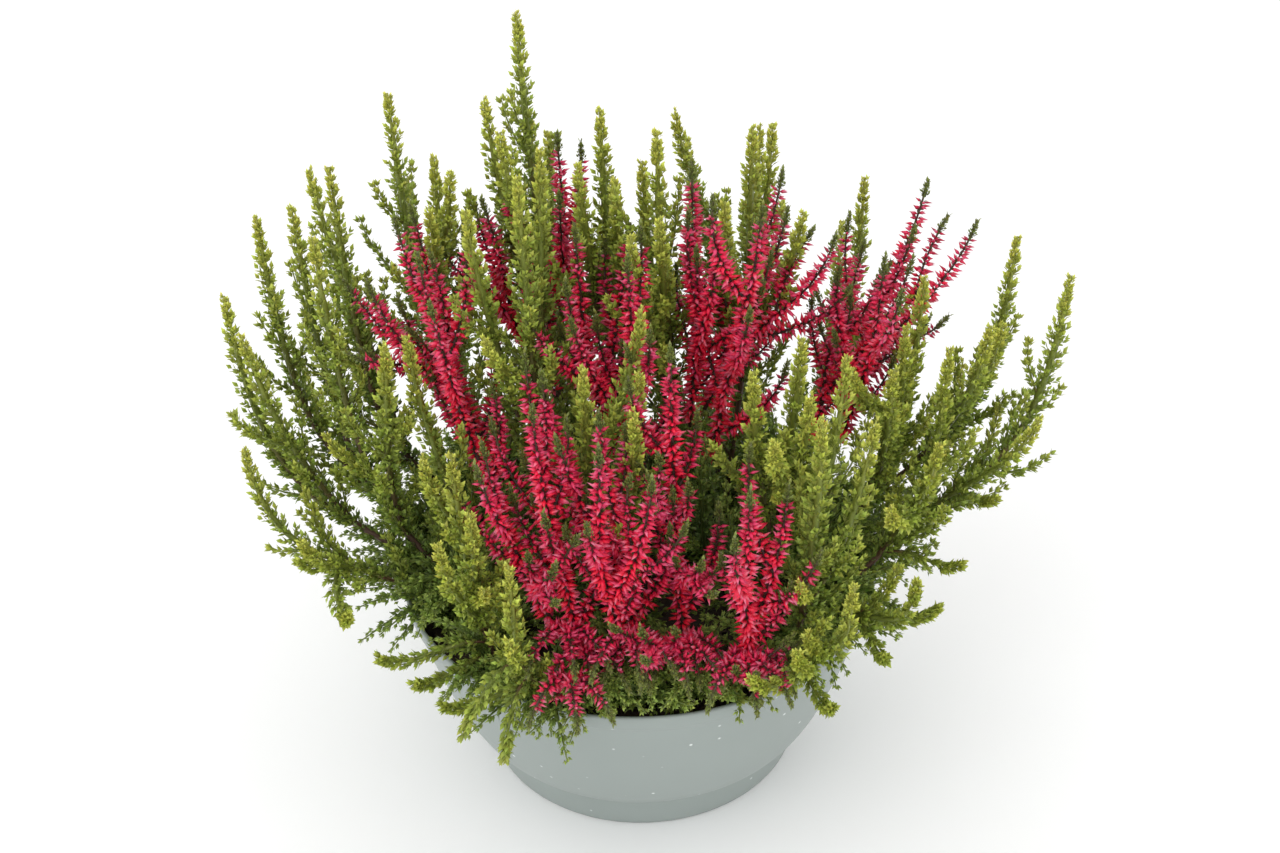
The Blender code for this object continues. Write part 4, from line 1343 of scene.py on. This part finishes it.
# %% Turn a profile
def turned_piece(name, profile, steps, material, node, shaped=None):
    """Turns (radius, height) points round the upright axis, closed at both ends."""
    radius, height = np.array(profile).T
    turn = 2 * math.pi * np.arange(steps) / steps
    points = np.stack([np.outer(np.cos(turn), radius[1:-1]), np.outer(np.sin(turn), radius[1:-1]),
                       np.tile(height[1:-1], (steps, 1))], axis=-1)
    if shaped is not None:
        points = shaped(points)
    ring = len(profile) - 2
    flat = points.reshape(-1, 3)
    centre = np.array([(0.0, 0.0, height[0]), (0.0, 0.0, height[-1])])
    here = np.arange(steps)[:, None] * ring + np.arange(ring - 1)
    there = ((np.arange(steps)[:, None] + 1) % steps) * ring + np.arange(ring - 1)
    quads = np.stack([here, here + 1, there + 1, there], axis=-1).reshape(-1, 4)
    first, after = np.arange(steps) * ring, ((np.arange(steps) + 1) % steps) * ring
    caps = [(len(flat), int(a), int(b)) for a, b in zip(first, after)]
    caps += [(len(flat) + 1, int(b) + ring - 1, int(a) + ring - 1) for a, b in zip(first, after)]
    mesh = bpy.data.meshes.new(name)
    mesh.from_pydata(np.concatenate([flat, centre]).tolist(), [], quads.tolist() + caps)
    mesh.shade_smooth()
    along = np.concatenate(([0.0], np.cumsum(np.hypot(np.diff(radius), np.diff(height)))))
    along = along / along[-1]
    uv = [(s + a, along[k + b]) for s in range(steps) for k in range(1, ring)
          for a, b in ((0, 0), (0, 1), (1, 1), (1, 0))]
    for end, row, turned in ((0.0, 1, (0, 1)), (1.0, -2, (1, 0))):
        for s in range(steps):
            uv += [(s + 0.5, end)] + [(s + a, along[row]) for a in turned]
    lay_map(mesh, np.array(uv) * (1.0 / steps, 1.0))
    return dressed(name, mesh, material, node)


BOWL_STEPS, SOIL_STEPS = 144, 120
print("steps round the bowl:", BOWL_STEPS, "and round the soil:", SOIL_STEPS)

# %% [markdown]
# The outline is written from the middle of the floor, up the inside, over the rim and down to
# the foot ring, with the sizes of the plain solid. Writing it point by point keeps the rim's
# round lip and the small steps of the two bands, which a bevel would blur.

# %% The bowl's profile
FLOOR_TOP = 0.0045
LIP = 0.0011


def arc(centre, radius, start, end, count):
    """Profile points round a corner, from one angle to another in degrees."""
    turn = np.radians(np.linspace(start, end, count))
    return [(centre[0] + radius * math.cos(t), centre[1] + radius * math.sin(t)) for t in turn]


def bowl_profile():
    """From the middle of the floor, up the inside, over the rim and down to the foot ring."""
    band_bottom = BOWL_HEIGHT - 0.008
    below = wall_radius(band_bottom)
    profile = [(r, FLOOR_TOP) for r in (0.0, 0.020, 0.048, 0.074)] + [(0.078, 0.0065)]
    profile += [(wall_radius(z) - WALL, z) for z in np.linspace(FOOT_TOP, 0.098, 16)]
    profile += arc((RIM_RADIUS - LIP, BOWL_HEIGHT - LIP), LIP, 170, 0, 9)
    profile += [(below + 0.0012, band_bottom + 0.0008), (below + 0.0009, band_bottom + 0.0002)]
    profile += [(below + 0.0002, band_bottom - 0.0002)]
    profile += [(wall_radius(z), z) for z in np.linspace(band_bottom - 0.001, 0.0225, 26)]
    profile += [(0.0816, 0.0204), (0.0811, 0.0194), (0.0808, 0.0186)]
    profile += [(0.0808 - 0.0034 * s, 0.0186 - 0.0176 * s) for s in np.linspace(0.1, 0.98, 8)]
    profile += [(0.0766, 0.0003), (0.0760, 0.0), (0.068, 0.0), (0.066, 0.002), (0.022, 0.002)]
    profile += [(0.020, 0.0), (0.0, 0.0)]
    return profile


print("profile points:", len(bowl_profile()))

# %% [markdown]
# The plastic is smooth blue-grey with a satin sheen, and dust and perlite left a few pale specks
# on it. The specks come from a cell pattern with a threshold, which needs no image.


# %% Satin plastic with specks
def plastic_material():
    material = plain_material("blue-grey plastic", (0.26, 0.33, 0.36), 0.40)
    shader = material.node_tree.nodes["Principled BSDF"]
    place = shader_node(material, "TexCoord")
    cloud = shader_node(material, "TexNoise", Scale=14.0, Detail=4.0)
    tone = shader_node(material, "MixRGB", Color1=(0.270, 0.310, 0.294, 1.0),
                       Color2=(0.320, 0.365, 0.345, 1.0))
    cells = shader_node(material, "TexVoronoi", Scale=230.0)
    size = shader_node(material, "MapRange", From_Min=0.24, From_Max=0.08)
    split = shader_node(material, "SeparateColor")
    rare = shader_node(material, "Math")
    rare.operation = "GREATER_THAN"
    rare.inputs[1].default_value = 0.91
    spot = shader_node(material, "Math")
    spot.operation = "MULTIPLY"
    specks = shader_node(material, "MixRGB", Color2=(0.78, 0.82, 0.81, 1.0))
    sheen = shader_node(material, "MapRange", To_Min=0.34, To_Max=0.50)
    grain = shader_node(material, "TexNoise", Scale=700.0)
    bump = shader_node(material, "Bump", Strength=0.10, Distance=0.0002)
    wire(material, (place, "Object", cloud, "Vector"), (cloud, "Fac", tone, "Fac"),
         (place, "Object", cells, "Vector"), (cells, "Distance", size, "Value"),
         (cells, "Color", split, "Color"), (split, "Red", rare, 0), (size, "Result", spot, 0),
         (rare, "Value", spot, 1), (spot, "Value", specks, "Fac"),
         (tone, "Color", specks, "Color1"), (specks, "Color", shader, "Base Color"),
         (cloud, "Fac", sheen, "Value"), (sheen, "Result", shader, "Roughness"),
         (place, "Object", grain, "Vector"), (grain, "Fac", bump, "Height"),
         (bump, "Normal", shader, "Normal"))
    return material


bowl = turned_piece("planting_bowl", bowl_profile(), BOWL_STEPS, plastic_material(),
                    "bowl")
print("bowl faces:", len(bowl.data.polygons))

# %% [markdown]
# ## The potting soil
#
# The peat is dark and crumbly. It could be sculpted, but most of it lies under leaves. So the
# lathe gives its body, a sum of waves lifts its top by about a millimetre, and a fine pattern
# in the material gives the grain.


# %% Peat
def soil_material():
    material = plain_material("moist peat", (0.04, 0.026, 0.018), 0.95)
    shader = material.node_tree.nodes["Principled BSDF"]
    place = shader_node(material, "TexCoord")
    crumbs = shader_node(material, "TexNoise", Scale=260.0, Detail=6.0)
    tone = shader_node(material, "MixRGB", Color1=(0.012, 0.008, 0.006, 1.0),
                       Color2=(0.085, 0.055, 0.038, 1.0))
    bump = shader_node(material, "Bump", Distance=0.001)
    wire(material, (place, "Object", crumbs, "Vector"), (crumbs, "Fac", tone, "Fac"),
         (tone, "Color", shader, "Base Color"), (crumbs, "Fac", bump, "Height"),
         (bump, "Normal", shader, "Normal"))
    return material


def lifted(points):
    """Lifts the top of the soil in soft lumps."""
    x, y, z = points[..., 0], points[..., 1], points[..., 2]
    lump = (np.sin(210 * x + 1.3) * np.sin(190 * y + 0.4) + np.sin(430 * x + 260 * y)
            + 0.7 * np.sin(620 * y - 340 * x + 2.0))
    edge = np.clip((0.108 - np.hypot(x, y)) / 0.01, 0.0, 1.0)
    points[..., 2] = np.where(z > SOIL_TOP - 0.0005, z + 0.0005 * lump * edge, z)
    return points


peat = soil_material()
side = [(wall_radius(z) - WALL - 0.0004, z) for z in np.linspace(FOOT_TOP, SOIL_TOP, 8)]
top = [(r, SOIL_TOP) for r in np.linspace(0.0, 0.105, 44)]
profile = top + side[::-1] + [(0.0716, 0.0048), (0.0, 0.0048)]
soil = turned_piece("peat_soil", profile, SOIL_STEPS, peat, "potting_soil",
                    lifted)
soil.data.flip_normals()
print("soil faces:", len(soil.data.polygons))

# %% [markdown]
# Loose crumbs lie on the peat. They are the bud's small pod again, at random places and turned
# at random from the fixed seed. One more shape would show no difference at this size.

# %% Crumbs of peat
CRUMBS, CRUMB_REACH = 500, 0.104

basket = Basket()
away = CRUMB_REACH * draw.uniform(0.0, 1.0, CRUMBS) ** 0.5
turn = draw.uniform(0.0, 2 * math.pi, CRUMBS)
place = np.stack([away * np.cos(turn), away * np.sin(turn), np.full(CRUMBS, SOIL_TOP)], axis=-1)
length = draw.uniform(0.0015, 0.0042, CRUMBS)
add_copies(basket, BUD, place, draw.normal(0.0, 1.0, (CRUMBS, 3)) * (1.0, 1.0, 0.3),
           np.tile(UP, (CRUMBS, 1)), length, 0.36 * length, np.ones((CRUMBS, 3)))
crumbs = piece_from(basket, "peat_crumbs", peat, "potting_soil")
print("crumb faces:", len(crumbs.data.polygons))
